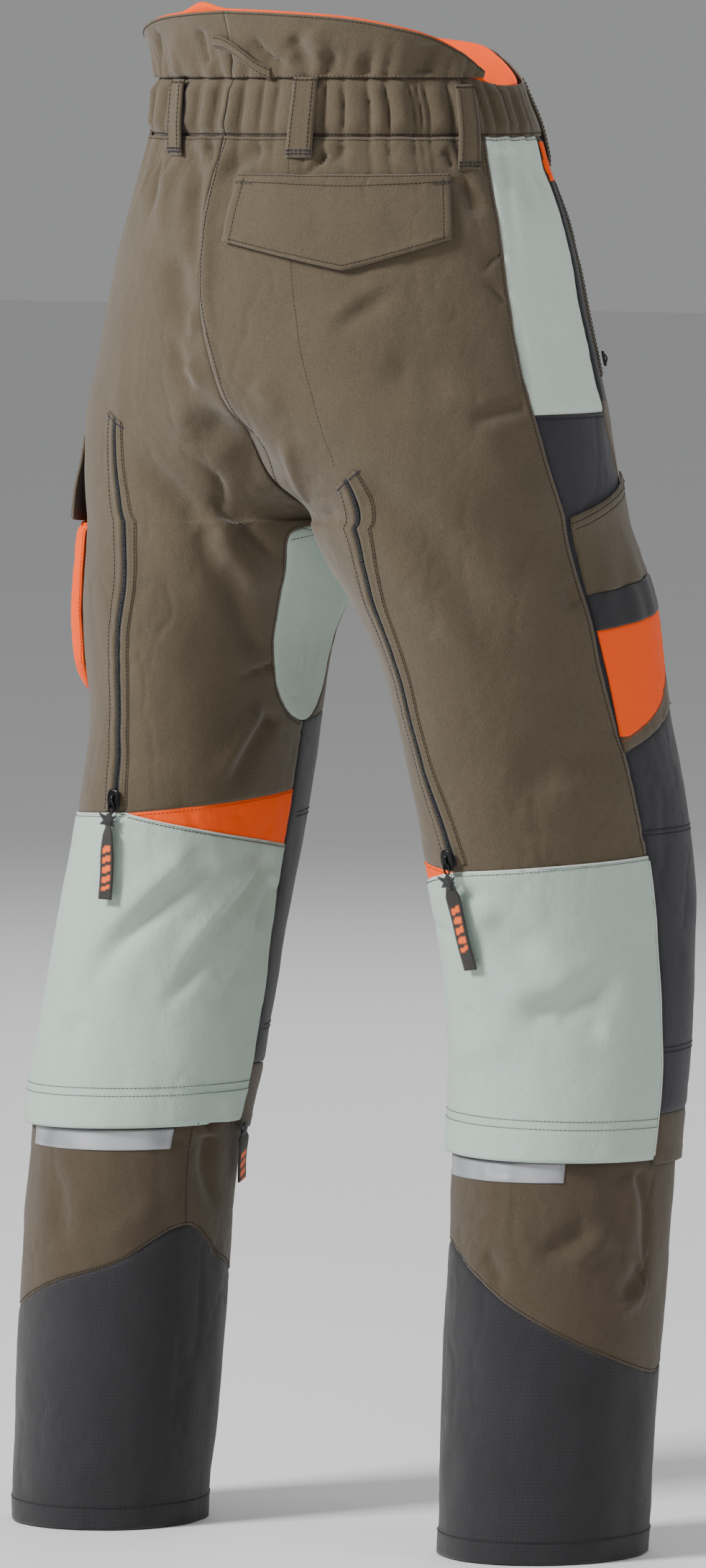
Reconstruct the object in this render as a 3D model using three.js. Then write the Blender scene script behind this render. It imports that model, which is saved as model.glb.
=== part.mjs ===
// Forestry protective trousers, standing on their hems as if worn.
// Millimetres, +Z up, the front faces -Y, the wearer's left leg is on +X.
// Every fabric piece is a thin closed shell laid on one shared garment surface.
import * as THREE from 'three';

// ---- driving dimensions -------------------------------------------------
const CROTCH_Z = 760;
const RISE_Z = 894;
const BLEND_LOW_Z = 690;
const TOE_OUT = THREE.MathUtils.degToRad(13);
const WAIST_SEAM_Z = 1045;
const BAND_TOP_Z = 1088;
const SIDE_TOP_Z = 1084;
const CALF_HEM_Z = { left: 300, right: 293 };
const SHELL_FOOT_Z = { left: 338, right: 326 };
const FABRIC = 2.0;
const SEAM_GAP = 1.2;
const TUCK = 14;
const FLY_FOOT_Z = 900;
const FLY_TOP_Z = 1038;
const FLY_REST_Z = 1026;
const LOWER_LEG_LIFT = -4.4;
const LEFT = 1;
const RIGHT = -1;

// Leg rings: height, centre across, centre fore-aft (left, right), half width, half depth.
const LEG_RINGS = [
  [-10, 183.5, 53, 0, 77.5, 86],
  [20, 183, 52, -2.5, 78, 86.5],
  [130, 180, 46.5, -13.5, 81.5, 88],
  [235, 177, 39, -28, 82, 91],
  [290, 175, 32, -37, 83, 91.5],
  [340, 172, 23, -47, 87, 91],
  [395, 168, 11, -54, 85.5, 96],
  [450, 163, 1, -57, 83, 104],
  [500, 158, -8, -56, 81, 112],
  [555, 151, -14, -50, 80.5, 114],
  [610, 143, -15, -43, 81, 116],
  [665, 135.5, -9, -33, 88, 119],
  [700, 126, -7, -27, 96, 124],
  [735, 113, -5, -20, 103.5, 130],
  [760, 106.5, -3, -14, 106.5, 133],
  [815, 107, 0, -4, 107, 142],
  [875, 106, 0, 0, 106, 149],
  [1150, 100, 2, 2, 104, 120],
];
// The bent right knee carries its leg a little further out and back.
const RIGHT_KNEE_SHIFT = [[450, 0], [500, 2], [555, 5], [610, 5], [665, 3], [735, 0]];
// Pelvis rings: height, half width, half depth, centre fore-aft.
const PELVIS_RINGS = [
  [690, 215, 148, -8],
  [760, 214, 150, -5],
  [836, 212, 153, 0],
  [868, 206.5, 151, 0],
  [922, 195, 146, 0],
  [976, 182, 138, 0],
  [1019, 166, 126, 0],
  [1047, 157, 119, 0],
  [1090, 148, 111, 8],
  [1145, 151, 120, 9],
];
// The seat seam leans a little towards the wearer's left.
const SEAT_SEAM_LEAN = [
  [834, 0], [854, 0.009], [881, 0.021], [909, 0.035], [937, 0.046],
  [1000, 0.05], [1046, 0.045], [1089, 0.032], [1145, 0.03],
];

// ---- colours ------------------------------------------------------------
const TAUPE = 0x6b6052;
const SAGE = 0xa5b0a8;
const CHARCOAL = 0x3a3a3e;
const ORANGE = 0xff6e0a;
const BLACK = 0x2d2b28;
const SILVER = 0xaaacaf;
const PAD = 0xd8d4c4;

// ---- the garment surface ------------------------------------------------
function smooth(t) {
  const c = Math.min(1, Math.max(0, t));
  return c * c * (3 - 2 * c);
}

// Cubic through the rows of a table, by its first column.
function along(rows, x, column) {
  const last = rows.length - 1;
  if (x <= rows[0][0]) return rows[0][column];
  if (x >= rows[last][0]) return rows[last][column];
  let i = 0;
  while (rows[i + 1][0] <= x) i += 1;
  const slope = (j) => {
    const a = rows[Math.max(0, j - 1)];
    const b = rows[Math.min(last, j + 1)];
    return (b[column] - a[column]) / (b[0] - a[0]);
  };
  const h = rows[i + 1][0] - rows[i][0];
  const t = (x - rows[i][0]) / h;
  const t2 = t * t;
  const t3 = t2 * t;
  return (2 * t3 - 3 * t2 + 1) * rows[i][column] + (t3 - 2 * t2 + t) * slope(i) * h
    + (3 * t2 - 2 * t3) * rows[i + 1][column] + (t3 - t2) * slope(i + 1) * h;
}

function legPoint(side, u, z) {
  const shift = side === RIGHT ? along(RIGHT_KNEE_SHIFT, z, 1) : 0;
  const halfWidth = along(LEG_RINGS, z, 4);
  const halfDepth = along(LEG_RINGS, z, 5);
  const centreX = z >= CROTCH_Z ? halfWidth : along(LEG_RINGS, z, 1) + shift;
  const centreY = along(LEG_RINGS, z, side === LEFT ? 2 : 3) + shift;
  const turn = TOE_OUT * smooth((854 - z) / 150);
  const angle = 2 * Math.PI * u;
  const x = -halfWidth * Math.cos(angle);
  const y = -halfDepth * Math.sin(angle);
  return [
    side * (centreX + x * Math.cos(turn) - y * Math.sin(turn)),
    centreY + x * Math.sin(turn) + y * Math.cos(turn),
  ];
}

function pelvisShare(u, z) {
  const seam = Math.cos(Math.PI * u) ** 4;
  let rise = 0;
  if (z >= RISE_Z) rise = 1;
  else if (z > CROTCH_Z) rise = Math.sqrt(1 - ((RISE_Z - z) / (RISE_Z - CROTCH_Z)) ** 2);
  return seam * rise + (1 - seam) * smooth((z - BLEND_LOW_Z) / (RISE_Z - BLEND_LOW_Z));
}

// A point of one half: u runs from the front seam (0) round the outside to the back seam (1).
// Above the crotch, u past 1 carries on round the other half.
function skin(side, u, z) {
  if (u > 1 && z > CROTCH_Z) return skin(-side, 2 - u, z);
  const [legX, legY] = legPoint(side, u, z);
  const share = u > 1 ? 0 : pelvisShare(u, z);
  if (share <= 0) return new THREE.Vector3(legX, legY, z);
  const lean = Math.max(0, along(SEAT_SEAM_LEAN, z, 1));
  const angle = Math.PI * u * (1 - side * lean);
  const x = side * along(PELVIS_RINGS, z, 1) * Math.sin(angle);
  const y = along(PELVIS_RINGS, z, 3) - along(PELVIS_RINGS, z, 2) * Math.cos(angle);
  return new THREE.Vector3(
    share * x + (1 - share) * legX,
    share * y + (1 - share) * legY,
    z,
  );
}

// Point, outward normal, direction round the body and direction up, at one place.
function frameAt(side, u, z) {
  const du = 0.002;
  const dz = 1;
  const point = skin(side, u, z);
  const round = skin(side, Math.min(u + du, 2), z).sub(skin(side, Math.max(u - du, 0), z));
  round.normalize();
  const up = skin(side, u, z + dz).sub(skin(side, u, z - dz)).normalize();
  const out = new THREE.Vector3().crossVectors(round, up).multiplyScalar(side);
  return { point, out: out.normalize(), round, up };
}

function lifted(side, u, z, lift, level) {
  const { point, out } = frameAt(side, u, z);
  const p = point.addScaledVector(out, lift);
  if (level) p.z = z;
  return p;
}

// ---- patches ------------------------------------------------------------
// A patch is a row of guide lines, each a list of [u, z] from its foot to its top.
function onGuide(guide, t) {
  const lengths = [0];
  for (let i = 1; i < guide.length; i += 1) {
    const du = (guide[i][0] - guide[i - 1][0]) * 500;
    const dz = guide[i][1] - guide[i - 1][1];
    lengths.push(lengths[i - 1] + Math.hypot(du, dz));
  }
  const want = t * lengths[lengths.length - 1];
  let i = 0;
  while (i < guide.length - 2 && lengths[i + 1] < want) i += 1;
  const f = (want - lengths[i]) / (lengths[i + 1] - lengths[i]);
  return [
    guide[i][0] + (guide[i + 1][0] - guide[i][0]) * f,
    guide[i][1] + (guide[i + 1][1] - guide[i][1]) * f,
  ];
}

function onPatch(guides, s, t) {
  const first = guides[0][0][0];
  const span = guides[guides.length - 1][0][0] - first;
  const places = guides.map((g) => (g[0][0] - first) / span);
  let i = 0;
  while (i < guides.length - 2 && places[i + 1] < s) i += 1;
  const f = (s - places[i]) / (places[i + 1] - places[i]);
  const a = onGuide(guides[i], t);
  const b = onGuide(guides[i + 1], t);
  return [a[0] + (b[0] - a[0]) * f, a[1] + (b[1] - a[1]) * f];
}

function solidFromGrids(outer, inner, ring) {
  const cols = outer.length;
  const rows = outer[0].length;
  const positions = [];
  for (const grid of [outer, inner]) {
    for (const line of grid) {
      for (const p of line) positions.push(p.x, p.y, p.z);
    }
  }
  const at = (layer, i, j) => layer * cols * rows + (i % cols) * rows + j;
  const index = [];
  const quad = (a, b, c, d) => index.push(a, b, c, a, c, d);
  const lastCol = ring ? cols : cols - 1;
  for (let i = 0; i < lastCol; i += 1) {
    for (let j = 0; j < rows - 1; j += 1) {
      quad(at(0, i, j), at(0, i + 1, j), at(0, i + 1, j + 1), at(0, i, j + 1));
      quad(at(1, i, j), at(1, i, j + 1), at(1, i + 1, j + 1), at(1, i + 1, j));
    }
    quad(at(1, i, 0), at(1, i + 1, 0), at(0, i + 1, 0), at(0, i, 0));
    const top = rows - 1;
    quad(at(0, i, top), at(0, i + 1, top), at(1, i + 1, top), at(1, i, top));
  }
  if (!ring) {
    const end = cols - 1;
    for (let j = 0; j < rows - 1; j += 1) {
      quad(at(1, 0, j), at(0, 0, j), at(0, 0, j + 1), at(1, 0, j + 1));
      quad(at(0, end, j), at(1, end, j), at(1, end, j + 1), at(0, end, j + 1));
    }
  }
  const geometry = new THREE.BufferGeometry();
  geometry.setAttribute('position', new THREE.Float32BufferAttribute(positions, 3));
  geometry.setIndex(index);
  if (signedVolume(geometry) < 0) {
    for (let i = 0; i < index.length; i += 3) {
      const keep = index[i];
      index[i] = index[i + 1];
      index[i + 1] = keep;
    }
    geometry.setIndex(index);
  }
  geometry.computeVertexNormals();
  return geometry;
}

function signedVolume(geometry) {
  const p = geometry.getAttribute('position');
  const index = geometry.getIndex().array;
  const [a, b, c] = [new THREE.Vector3(), new THREE.Vector3(), new THREE.Vector3()];
  let sum = 0;
  for (let i = 0; i < index.length; i += 3) {
    a.fromBufferAttribute(p, index[i]);
    b.fromBufferAttribute(p, index[i + 1]);
    c.fromBufferAttribute(p, index[i + 2]);
    sum += a.dot(b.cross(c));
  }
  return sum / 6;
}

// ---- pieces -------------------------------------------------------------
const trousers = new THREE.Group();

function add(name, geometry, colour, roughness = 0.9, metalness = 0) {
  const material = new THREE.MeshStandardMaterial({ color: colour, roughness, metalness });
  const mesh = new THREE.Mesh(geometry, material);
  mesh.name = name;
  trousers.add(mesh);
}

// Cloth over a patch. lift is the outer face's height off the garment surface, a number
// or a function of (s, t); gap is how far each border stays back from the seam line.
function cloth(side, guides, cells, { lift = 0, thick = FABRIC, gap = SEAM_GAP, level = false } = {}) {
  const [nu, nz] = cells;
  const [uFoot, zFoot] = onPatch(guides, 0.5, 0);
  const [uTop, zTop] = onPatch(guides, 0.5, 1);
  const height = skin(side, uFoot, zFoot).distanceTo(skin(side, uTop, zTop));
  const [uA, zA] = onPatch(guides, 0, 0.5);
  const [uB, zB] = onPatch(guides, 1, 0.5);
  const width = Math.abs(uB - uA) * 480 + Math.abs(zB - zA) * 0.2;
  const backS = gap / Math.max(width, 4 * gap);
  const backT = gap / Math.max(height, 4 * gap);
  const outer = [];
  const inner = [];
  for (let i = 0; i <= nu; i += 1) {
    const s = backS + (1 - 2 * backS) * (i / nu);
    const outerLine = [];
    const innerLine = [];
    for (let j = 0; j <= nz; j += 1) {
      const t = backT + (1 - 2 * backT) * (j / nz);
      const [u, z] = onPatch(guides, s, t);
      const high = typeof lift === 'function' ? lift(i / nu, j / nz) : lift;
      outerLine.push(lifted(side, u, z, high, level));
      innerLine.push(lifted(side, u, z, high - thick, level));
    }
    outer.push(outerLine);
    inner.push(innerLine);
  }
  return solidFromGrids(outer, inner, false);
}

// A closed tube of cloth round one leg, its foot and top given as functions of u.
function tube(side, footZ, topZ, cells, lift = 0, thick = FABRIC) {
  const [nu, nz] = cells;
  const outer = [];
  const inner = [];
  for (let i = 0; i < nu; i += 1) {
    const u = i / nu;
    const outerLine = [];
    const innerLine = [];
    for (let j = 0; j <= nz; j += 1) {
      const z = footZ(u) + (topZ(u) - footZ(u)) * (j / nz);
      outerLine.push(lifted(side, u, z, lift, true));
      innerLine.push(lifted(side, u, z, lift - thick, true));
    }
    outer.push(outerLine);
    inner.push(innerLine);
  }
  return solidFromGrids(outer, inner, true);
}

// A flat plate: outline in (round, up) millimetres, standing off the surface along out.
function plate(origin, round, up, outline, from, thick) {
  const shape = new THREE.Shape(outline.map(([x, y]) => new THREE.Vector2(x, y)));
  const geometry = new THREE.ExtrudeGeometry(shape, { depth: thick, bevelEnabled: false });
  const out = new THREE.Vector3().crossVectors(round, up).normalize();
  geometry.translate(0, 0, from);
  geometry.applyMatrix4(new THREE.Matrix4().makeBasis(round, up, out).setPosition(origin));
  return geometry;
}

const sideName = (side) => (side === LEFT ? 'left' : 'right');
const pick = (side, left, right) => (side === LEFT ? left : right);

// Top edge of the waist round one half: high at the fly, low at the side, high at the back.
const WAIST_TOP = [
  [0, 1117], [0.13, 1111], [0.2, 1101], [0.26, 1093], [0.32, 1086], [0.5, 1084],
  [0.53, 1093], [0.57, 1103], [0.62, 1113], [0.66, 1120], [0.71, 1126], [0.785, 1132],
  [0.905, 1136], [1, 1138],
];
const waistTop = (u) => along(WAIST_TOP, u > 1 ? 2 - u : u, 1);
const bandTop = (u) => (u > 0.5 ? BAND_TOP_Z : SIDE_TOP_Z);
const guideUp = (u, foot, top) => [[u, foot], [u, top]];

// Side seam between the back panel and the hip and cargo panels, foot to top.
const SIDE_SEAM = [
  [0.474, 515], [0.48, 585], [0.484, 603], [0.495, 652], [0.498, 690], [0.503, 725],
  [0.514, 762], [0.527, 780], [0.55, 808], [0.573, 842], [0.58, 875], [0.572, 954], [0.56, WAIST_SEAM_Z],
];
const seamAbove = (z) => SIDE_SEAM.filter((p) => p[1] > z + 2);

// Where the back panel meets the wedge and calf, on its outer, middle and inner guide.
const KNEE_OUTER_Z = { left: 528, right: 515 };
const KNEE_MIDDLE_Z = { left: 539, right: 505 };
const KNEE_INNER_Z = { left: 552, right: 520 };
const WEDGE_FOOT_Z = { left: 510, right: 480 };
const WEDGE_TIP_U = { left: 0.74, right: 0.73 };

// Inner-thigh gusset border, foot to top, on its back side; the front side mirrors it.
const GUSSET_EDGE = [
  [0.985, 606], [0.964, 613], [0.943, 628], [0.932, 648], [0.92, 681], [0.91, 710], [0.905, 746],
];

function waist() {
  for (const side of [LEFT, RIGHT]) {
    const name = sideName(side);
    const yokeAt = [0.54, 0.57, 0.62, 0.66, 0.71, 0.785, 0.905, 1];
    const yoke = yokeAt.map((u) => guideUp(u, BAND_TOP_Z + 1, waistTop(u)));
    add(`kidney_yoke_${name}`, cloth(side, yoke, [9, 2]), TAUPE);
    const back = [0.49, 0.56, 1].map((u) => guideUp(u, WAIST_SEAM_Z, bandTop(u)));
    add(`waistband_back_${name}`, cloth(side, back, [9, 1], { lift: 2, thick: 4 }), TAUPE);
    const front = [0, 0.13, 0.2, 0.26, 0.32, 0.49].map((u) => guideUp(u, WAIST_SEAM_Z, waistTop(u)));
    add(`waistband_front_${name}`, cloth(side, front, [8, 4], { lift: 0.5, thick: 2.5 }), TAUPE);
  }
  const liningAt = [0.01, 0.13, 0.2, 0.26, 0.32, 0.5, 0.57, 0.66, 0.785, 1];
  const liningRound = [...liningAt, ...liningAt.slice(0, -1).reverse().map((u) => 2 - u)];
  const lining = liningRound.map((u) => guideUp(u, WAIST_SEAM_Z + 4, waistTop(u) - 1));
  add('waist_lining', cloth(LEFT, lining, [36, 4], { lift: -3.4, thick: 1.4 }), ORANGE);
}

// Belt loops: u at the top, u at the foot, top height, foot height.
const LOOPS = [
  ['back_left', LEFT, 0.861, 0.893, 1086, 1030],
  ['back_right', RIGHT, 0.864, 0.866, 1089, 1029],
  ['side_left', LEFT, 0.585, 0.605, 1083, 1020],
  ['side_right', RIGHT, 0.588, 0.605, 1083, 1020],
  ['front_left', LEFT, 0.24, 0.24, 1088, 1020],
  ['front_right', RIGHT, 0.24, 0.24, 1088, 1020],
];
const LOOP_HALF_U = 0.025;
const LOOP_RISE = 3.2;

function beltLoops() {
  for (const [name, side, topU, footU, topZ, footZ] of LOOPS) {
    const guides = [-LOOP_HALF_U, LOOP_HALF_U].map((d) => [[footU + d, footZ], [topU + d, topZ]]);
    const bow = (s, t) => 4.4 + LOOP_RISE * Math.sin(Math.PI * t);
    add(`belt_loop_${name}`, cloth(side, guides, [1, 6], { lift: bow, thick: 1.6, gap: 0 }), TAUPE);
  }
  const hanger = [
    [[0.93, 1093], [0.93, 1101]],
    [[0.965, 1099], [0.965, 1107]],
    [[1.0, 1104], [1.0, 1112]],
    [[1.03, 1107], [1.03, 1115]],
  ];
  const slack = (s) => 2.6 + 3 * Math.sin(Math.PI * s);
  add('hanger_loop', cloth(RIGHT, hanger, [8, 1], { lift: slack, thick: 1.4, gap: 0 }), TAUPE);
}

function seatAndThigh() {
  for (const side of [LEFT, RIGHT]) {
    const name = sideName(side);
    const outer = [[0.474, KNEE_OUTER_Z[name]], ...seamAbove(540)];
    const middle = [
      [WEDGE_TIP_U[name], KNEE_MIDDLE_Z[name]],
      [0.742, 660], [0.745, 760], [0.77, 860], [0.78, WAIST_SEAM_Z],
    ];
    const inner = [
      [0.999, KNEE_INNER_Z[name]], [0.999, 604], [0.983, 605],
      ...GUSSET_EDGE.slice(1), [0.91, 757], [1, 772], [1, 860], [1, WAIST_SEAM_Z],
    ];
    add(`back_panel_${name}`, cloth(side, [outer, middle, inner], [6, 22]), TAUPE);

    const gusset = [GUSSET_EDGE, GUSSET_EDGE.map(([u, z]) => [2 - u, z])];
    add(`inner_thigh_gusset_${name}`, cloth(side, gusset, [6, 7], { gap: 3 }), SAGE);

    const hipFront = [[0.412, 842], [0.404, 900], [0.398, 950], [0.388, 995], [0.385, WAIST_SEAM_Z]];
    const hip = [hipFront, seamAbove(838).map((p, i) => (i === 0 ? [p[0], 843] : p))];
    add(`hip_side_panel_${name}`, cloth(side, hip, [4, 8]), SAGE);

    const frontOuter = [[0.345, 625], [0.352, 700], [0.385, 790], ...hipFront];
    const frontInner = [[0.03, 607], [0.068, 648], [0.09, 710], [0.095, 746], [0.09, 757], [0, 772],
      [0, 860], [0, WAIST_SEAM_Z]];
    add(`front_panel_${name}`, cloth(side, [frontInner, frontOuter], [7, 16]), TAUPE);

    const cargoFront = [[0.345, 625], [0.352, 700], [0.385, 790], [0.412, 842]];
    const cargoBack = [[0.482, 591], ...SIDE_SEAM.filter((p) => p[1] > 595 && p[1] < 838), [0.573, 842]];
    add(`cargo_panel_${name}`, cloth(side, [cargoFront, cargoBack], [4, 9]), CHARCOAL);
  }
}

// The line under the cargo panel, the front panel and the gusset, where the leg shell starts.
const SHELL_TOP = [[0.002, 604], [0.03, 606], [0.345, 624], [0.482, 590]];

function lowerHalf() {
  for (const side of [LEFT, RIGHT]) {
    const name = sideName(side);
    const foot = SHELL_FOOT_Z[name];
    const shell = [
      [[0.002, foot + 8], [0.002, 604]],
      [[0.03, foot + 7], [0.03, 606]],
      [[0.345, foot], [0.345, 624]],
      [[0.472, foot], [0.474, 520], [0.482, 590]],
    ];
    add(`leg_shell_${name}`, cloth(side, shell, [9, 8]), CHARCOAL);

    const tip = WEDGE_TIP_U[name];
    const wedge = [
      guideUp(tip + 0.012, KNEE_MIDDLE_Z[name] - 2.6, KNEE_MIDDLE_Z[name] + 0.4),
      guideUp(0.998, WEDGE_FOOT_Z[name], KNEE_INNER_Z[name]),
    ];
    add(`knee_wedge_${name}`, cloth(side, wedge, [6, 1], { gap: 0.7 }), ORANGE);

    const hem = CALF_HEM_Z[name];
    const calf = [
      [[0.474, hem], [0.474, KNEE_OUTER_Z[name]]],
      [[tip, hem + 2], [tip, KNEE_MIDDLE_Z[name] - 1]],
      [[0.998, hem + 4], [0.998, WEDGE_FOOT_Z[name] - 1]],
    ];
    add(`calf_panel_${name}`, cloth(side, calf, [8, 6], { lift: 1.2 }), SAGE);

    const strip = pick(side, [0.63, 0.88], [0.605, 0.83]).map((u) => guideUp(u, hem - 13, hem - 2));
    add(`reflective_strip_${name}`, cloth(side, strip, [5, 1], { lift: -2.4, thick: 0.9, gap: 0 }),
      SILVER, 0.35, 0.3);

    const legTop = (u) => (u < 0.46 ? foot + TUCK : hem + TUCK);
    add(`lower_leg_${name}`, tube(side, cuffTop(side), legTop, [20, 2], LOWER_LEG_LIFT), TAUPE);
    const cuffEnd = (u) => cuffTop(side)(u) - 1.5;
    add(`cuff_${name}`, tube(side, () => 0, cuffEnd, [20, 3], LOWER_LEG_LIFT, 2.6), CHARCOAL);
  }
}

// Upper border of the cuff: peaks at the inner back, low at the outer front.
function cuffTop(side) {
  const rows = pick(side,
    [[0, 200], [0.3, 150], [0.59, 162], [0.655, 174], [0.72, 187], [0.81, 201], [0.92, 228], [1, 200]],
    [[0, 215], [0.2, 165], [0.36, 140], [0.42, 134], [0.54, 154], [0.66, 185], [0.75, 213], [0.83, 230],
      [1, 215]]);
  return (u) => along(rows, u, 1);
}

function cargoPockets() {
  const clear = { thick: 2, gap: 0 };
  const phone = [
    [[0.356, 722], [0.362, 797]],
    [[0.497, 710], [0.508, 768]],
  ];
  add('phone_pocket_right', cloth(RIGHT, phone, [4, 3], { ...clear, lift: 4 }), TAUPE);
  const elastic = [[[0.352, 695], [0.356, 720]], [[0.495, 684], [0.495, 708]]];
  add('cargo_elastic_right', cloth(RIGHT, elastic, [4, 1], { ...clear, lift: 4 }), BLACK);
  const patch = [
    [[0.36, 652], [0.352, 693]],
    [[0.395, 630], [0.39, 690]],
    [[0.44, 613], [0.44, 686]],
    [[0.482, 605], [0.494, 682]],
  ];
  add('cargo_patch_right', cloth(RIGHT, patch, [5, 3], { ...clear, lift: 4 }), ORANGE);
  const bag = [
    [[0.37, 650], [0.365, 752]],
    [[0.41, 625], [0.42, 755]],
    [[0.57, 628], [0.585, 755]],
    [[0.592, 650], [0.605, 752]],
  ];
  const puff = (s, t) => 8 + 3 * Math.sin(Math.PI * s) * Math.sin(Math.PI * Math.min(1, t + 0.1));
  add('cargo_pocket_left', cloth(LEFT, bag, [6, 4], { lift: puff, thick: 6.4, gap: 0 }), ORANGE);
}

// ---- pieces that move ---------------------------------------------------
function turnedFrame(side, u, z, lean) {
  const { point, out, round, up } = frameAt(side, u, z);
  const across = side === LEFT ? round.clone() : round.clone().negate();
  across.addScaledVector(out, -across.dot(out)).normalize();
  const upward = new THREE.Vector3().crossVectors(out, across).normalize();
  if (upward.dot(up) < 0) {
    upward.negate();
    across.negate();
  }
  const a = across.clone().applyAxisAngle(out, lean);
  const b = upward.clone().applyAxisAngle(out, lean);
  return { point, out, across: a, up: b };
}

const SLIDER = [[-4.5, -7], [4.5, -7], [5.5, 0], [4.5, 6], [2, 8], [-2, 8], [-4.5, 6], [-5.5, 0]];
const TAB_WIDTH = 12;
const TAB_LENGTH = 66;

function pullOutline(length, width) {
  const h = width / 2;
  return [[-2, 0], [-h * 0.7, -8], [-h, -16], [-h, -length], [h, -length], [h, -16], [h * 0.7, -8], [2, 0]];
}

function ventZips() {
  const lines = {
    left: [[0.724, 541], [0.722, 557], [0.711, 625], [0.713, 698], [0.718, 746], [0.755, 785], [0.796, 832]],
    right: [[0.729, 508], [0.74, 545], [0.753, 580], [0.757, 640], [0.755, 690], [0.752, 730], [0.775, 770],
      [0.815, 798]],
  };
  const rests = { left: [0.724, 549, 0.18], right: [0.732, 516, -0.34] };
  for (const side of [LEFT, RIGHT]) {
    const name = sideName(side);
    const line = lines[name];
    const guides = [-0.03, 0.024].map((d) => line.map(([u, z]) => [u + d, z]));
    add(`vent_zip_${name}`, cloth(side, guides, [2, 14], { lift: 2.4, thick: 1.3, gap: 0 }), BLACK);
    const [u, z, lean] = rests[name];
    const f = turnedFrame(side, u, z, 0);
    add(`vent_slider_${name}`, plate(f.point, f.across, f.up, SLIDER, 4.2, 3), BLACK, 0.4, 0.6);
    const g = turnedFrame(side, u, z - 9, lean);
    const pull = plate(g.point, g.across, g.up, pullOutline(TAB_LENGTH, TAB_WIDTH), 7.6, 1.6);
    add(`vent_pull_${name}`, pull, BLACK, 0.7);
  }
  const f = turnedFrame(LEFT, 0.985, 300, -0.25);
  const tab = plate(f.point, f.across, f.up, pullOutline(46, TAB_WIDTH), 4.2, 1.6);
  add('leg_zip_pull_left', tab, BLACK, 0.7);
}

function flaps() {
  const seat = [
    [[0.653, 970], [0.639, 1017]],
    [[0.81, 948], [0.81, 1017]],
    [[0.962, 968], [0.955, 1016]],
  ];
  const flapLift = { lift: 6, thick: 2, gap: 0 };
  add('back_pocket_flap', cloth(RIGHT, seat, [6, 3], flapLift), TAUPE);
  const bag = [[[0.665, 880], [0.655, 1008]], [[0.945, 880], [0.945, 1008]]];
  add('back_pocket_bag', cloth(RIGHT, bag, [6, 4], { lift: -3.6, thick: 1.4, gap: 0 }), PAD);
  const side = [
    [[0.372, 757], [0.385, 818]],
    [[0.482, 753], [0.49, 820]],
    [[0.6, 757], [0.606, 818]],
  ];
  const over = (s, t) => 12.5 - 8.5 * smooth(t);
  add('cargo_flap_left', cloth(LEFT, side, [6, 3], { lift: over, thick: 2, gap: 0 }), TAUPE);
}

function frontClosure() {
  for (const side of [LEFT, RIGHT]) {
    const name = sideName(side);
    const line = [[0.372, 868], [0.362, 930], [0.35, 1012]];
    const guides = [-0.014, 0.014].map((d) => line.map(([u, z]) => [u + d, z]));
    add(`front_pocket_zip_${name}`, cloth(side, guides, [1, 8], { lift: 2.2, thick: 1.1, gap: 0 }), BLACK);
    const f = turnedFrame(side, 0.371, 880, 0);
    const outline = SLIDER.map(([x, y]) => [x * 0.8, y * 0.8]);
    add(`front_pocket_slider_${name}`, plate(f.point, f.across, f.up, outline, 5.2, 3), BLACK, 0.4, 0.6);
  }
  add('fly_zip', flyStrip(FLY_FOOT_Z, FLY_TOP_Z, 11, 6.4, 1.2), BLACK);
  add('fly_placket', flyStrip(FLY_FOOT_Z - 8, FLY_TOP_Z + 4, 19, 12.2, 1.6), TAUPE);
  const upFly = new THREE.Vector3(0, flyLineY(1) - flyLineY(0), 1).normalize();
  const slot = new THREE.Vector3(0, flyLineY(FLY_REST_Z), FLY_REST_Z);
  const outline = SLIDER.map(([x, y]) => [x * 0.8, y * 0.8]);
  add('fly_slider', plate(slot, new THREE.Vector3(1, 0, 0), upFly, outline, 7.2, 2.6), SILVER, 0.35, 0.8);
  const button = new THREE.CylinderGeometry(8.5, 8.5, 3, 20);
  const at = frameAt(LEFT, 0.03, 1068);
  button.applyQuaternion(new THREE.Quaternion().setFromUnitVectors(new THREE.Vector3(0, 1, 0), at.out));
  button.translate(...at.point.addScaledVector(at.out, 2.8).toArray());
  add('waist_button', button, BLACK, 0.4, 0.2);
}

// A straight strip down the centre front, spanning both halves, clear of the bulge behind it.
function flyStrip(footZ, topZ, halfWidth, lift, thick) {
  const outer = [];
  const inner = [];
  const rows = 4;
  for (let i = 0; i <= 2; i += 1) {
    const x = (i - 1) * halfWidth;
    const outerLine = [];
    const innerLine = [];
    for (let j = 0; j <= rows; j += 1) {
      const z = footZ + ((topZ - footZ) * j) / rows;
      const y = flyLineY(z) - lift;
      outerLine.push(new THREE.Vector3(x, y, z));
      innerLine.push(new THREE.Vector3(x, y + thick, z));
    }
    outer.push(outerLine);
    inner.push(innerLine);
  }
  return solidFromGrids(outer, inner, false);
}

function flyLineY(z) {
  const foot = skin(LEFT, 0, FLY_FOOT_Z).y;
  const top = skin(LEFT, 0, FLY_TOP_Z).y;
  return foot + ((top - foot) * (z - FLY_FOOT_Z)) / (FLY_TOP_Z - FLY_FOOT_Z);
}

function inserts() {
  for (const side of [LEFT, RIGHT]) {
    const name = sideName(side);
    const inner = [[0.04, 60], [0.04, 600], [0.12, 760], [0.16, 880]];
    const outer = [[0.44, 60], [0.44, 600], [0.4, 760], [0.37, 880]];
    const pad = cloth(side, [inner, outer], [6, 16], { lift: -8.5, thick: 4, gap: 0 });
    add(`cut_protection_insert_${name}`, pad, PAD);
  }
}

waist();
beltLoops();
seatAndThigh();
lowerHalf();
cargoPockets();
ventZips();
flaps();
frontClosure();
inserts();

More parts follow.
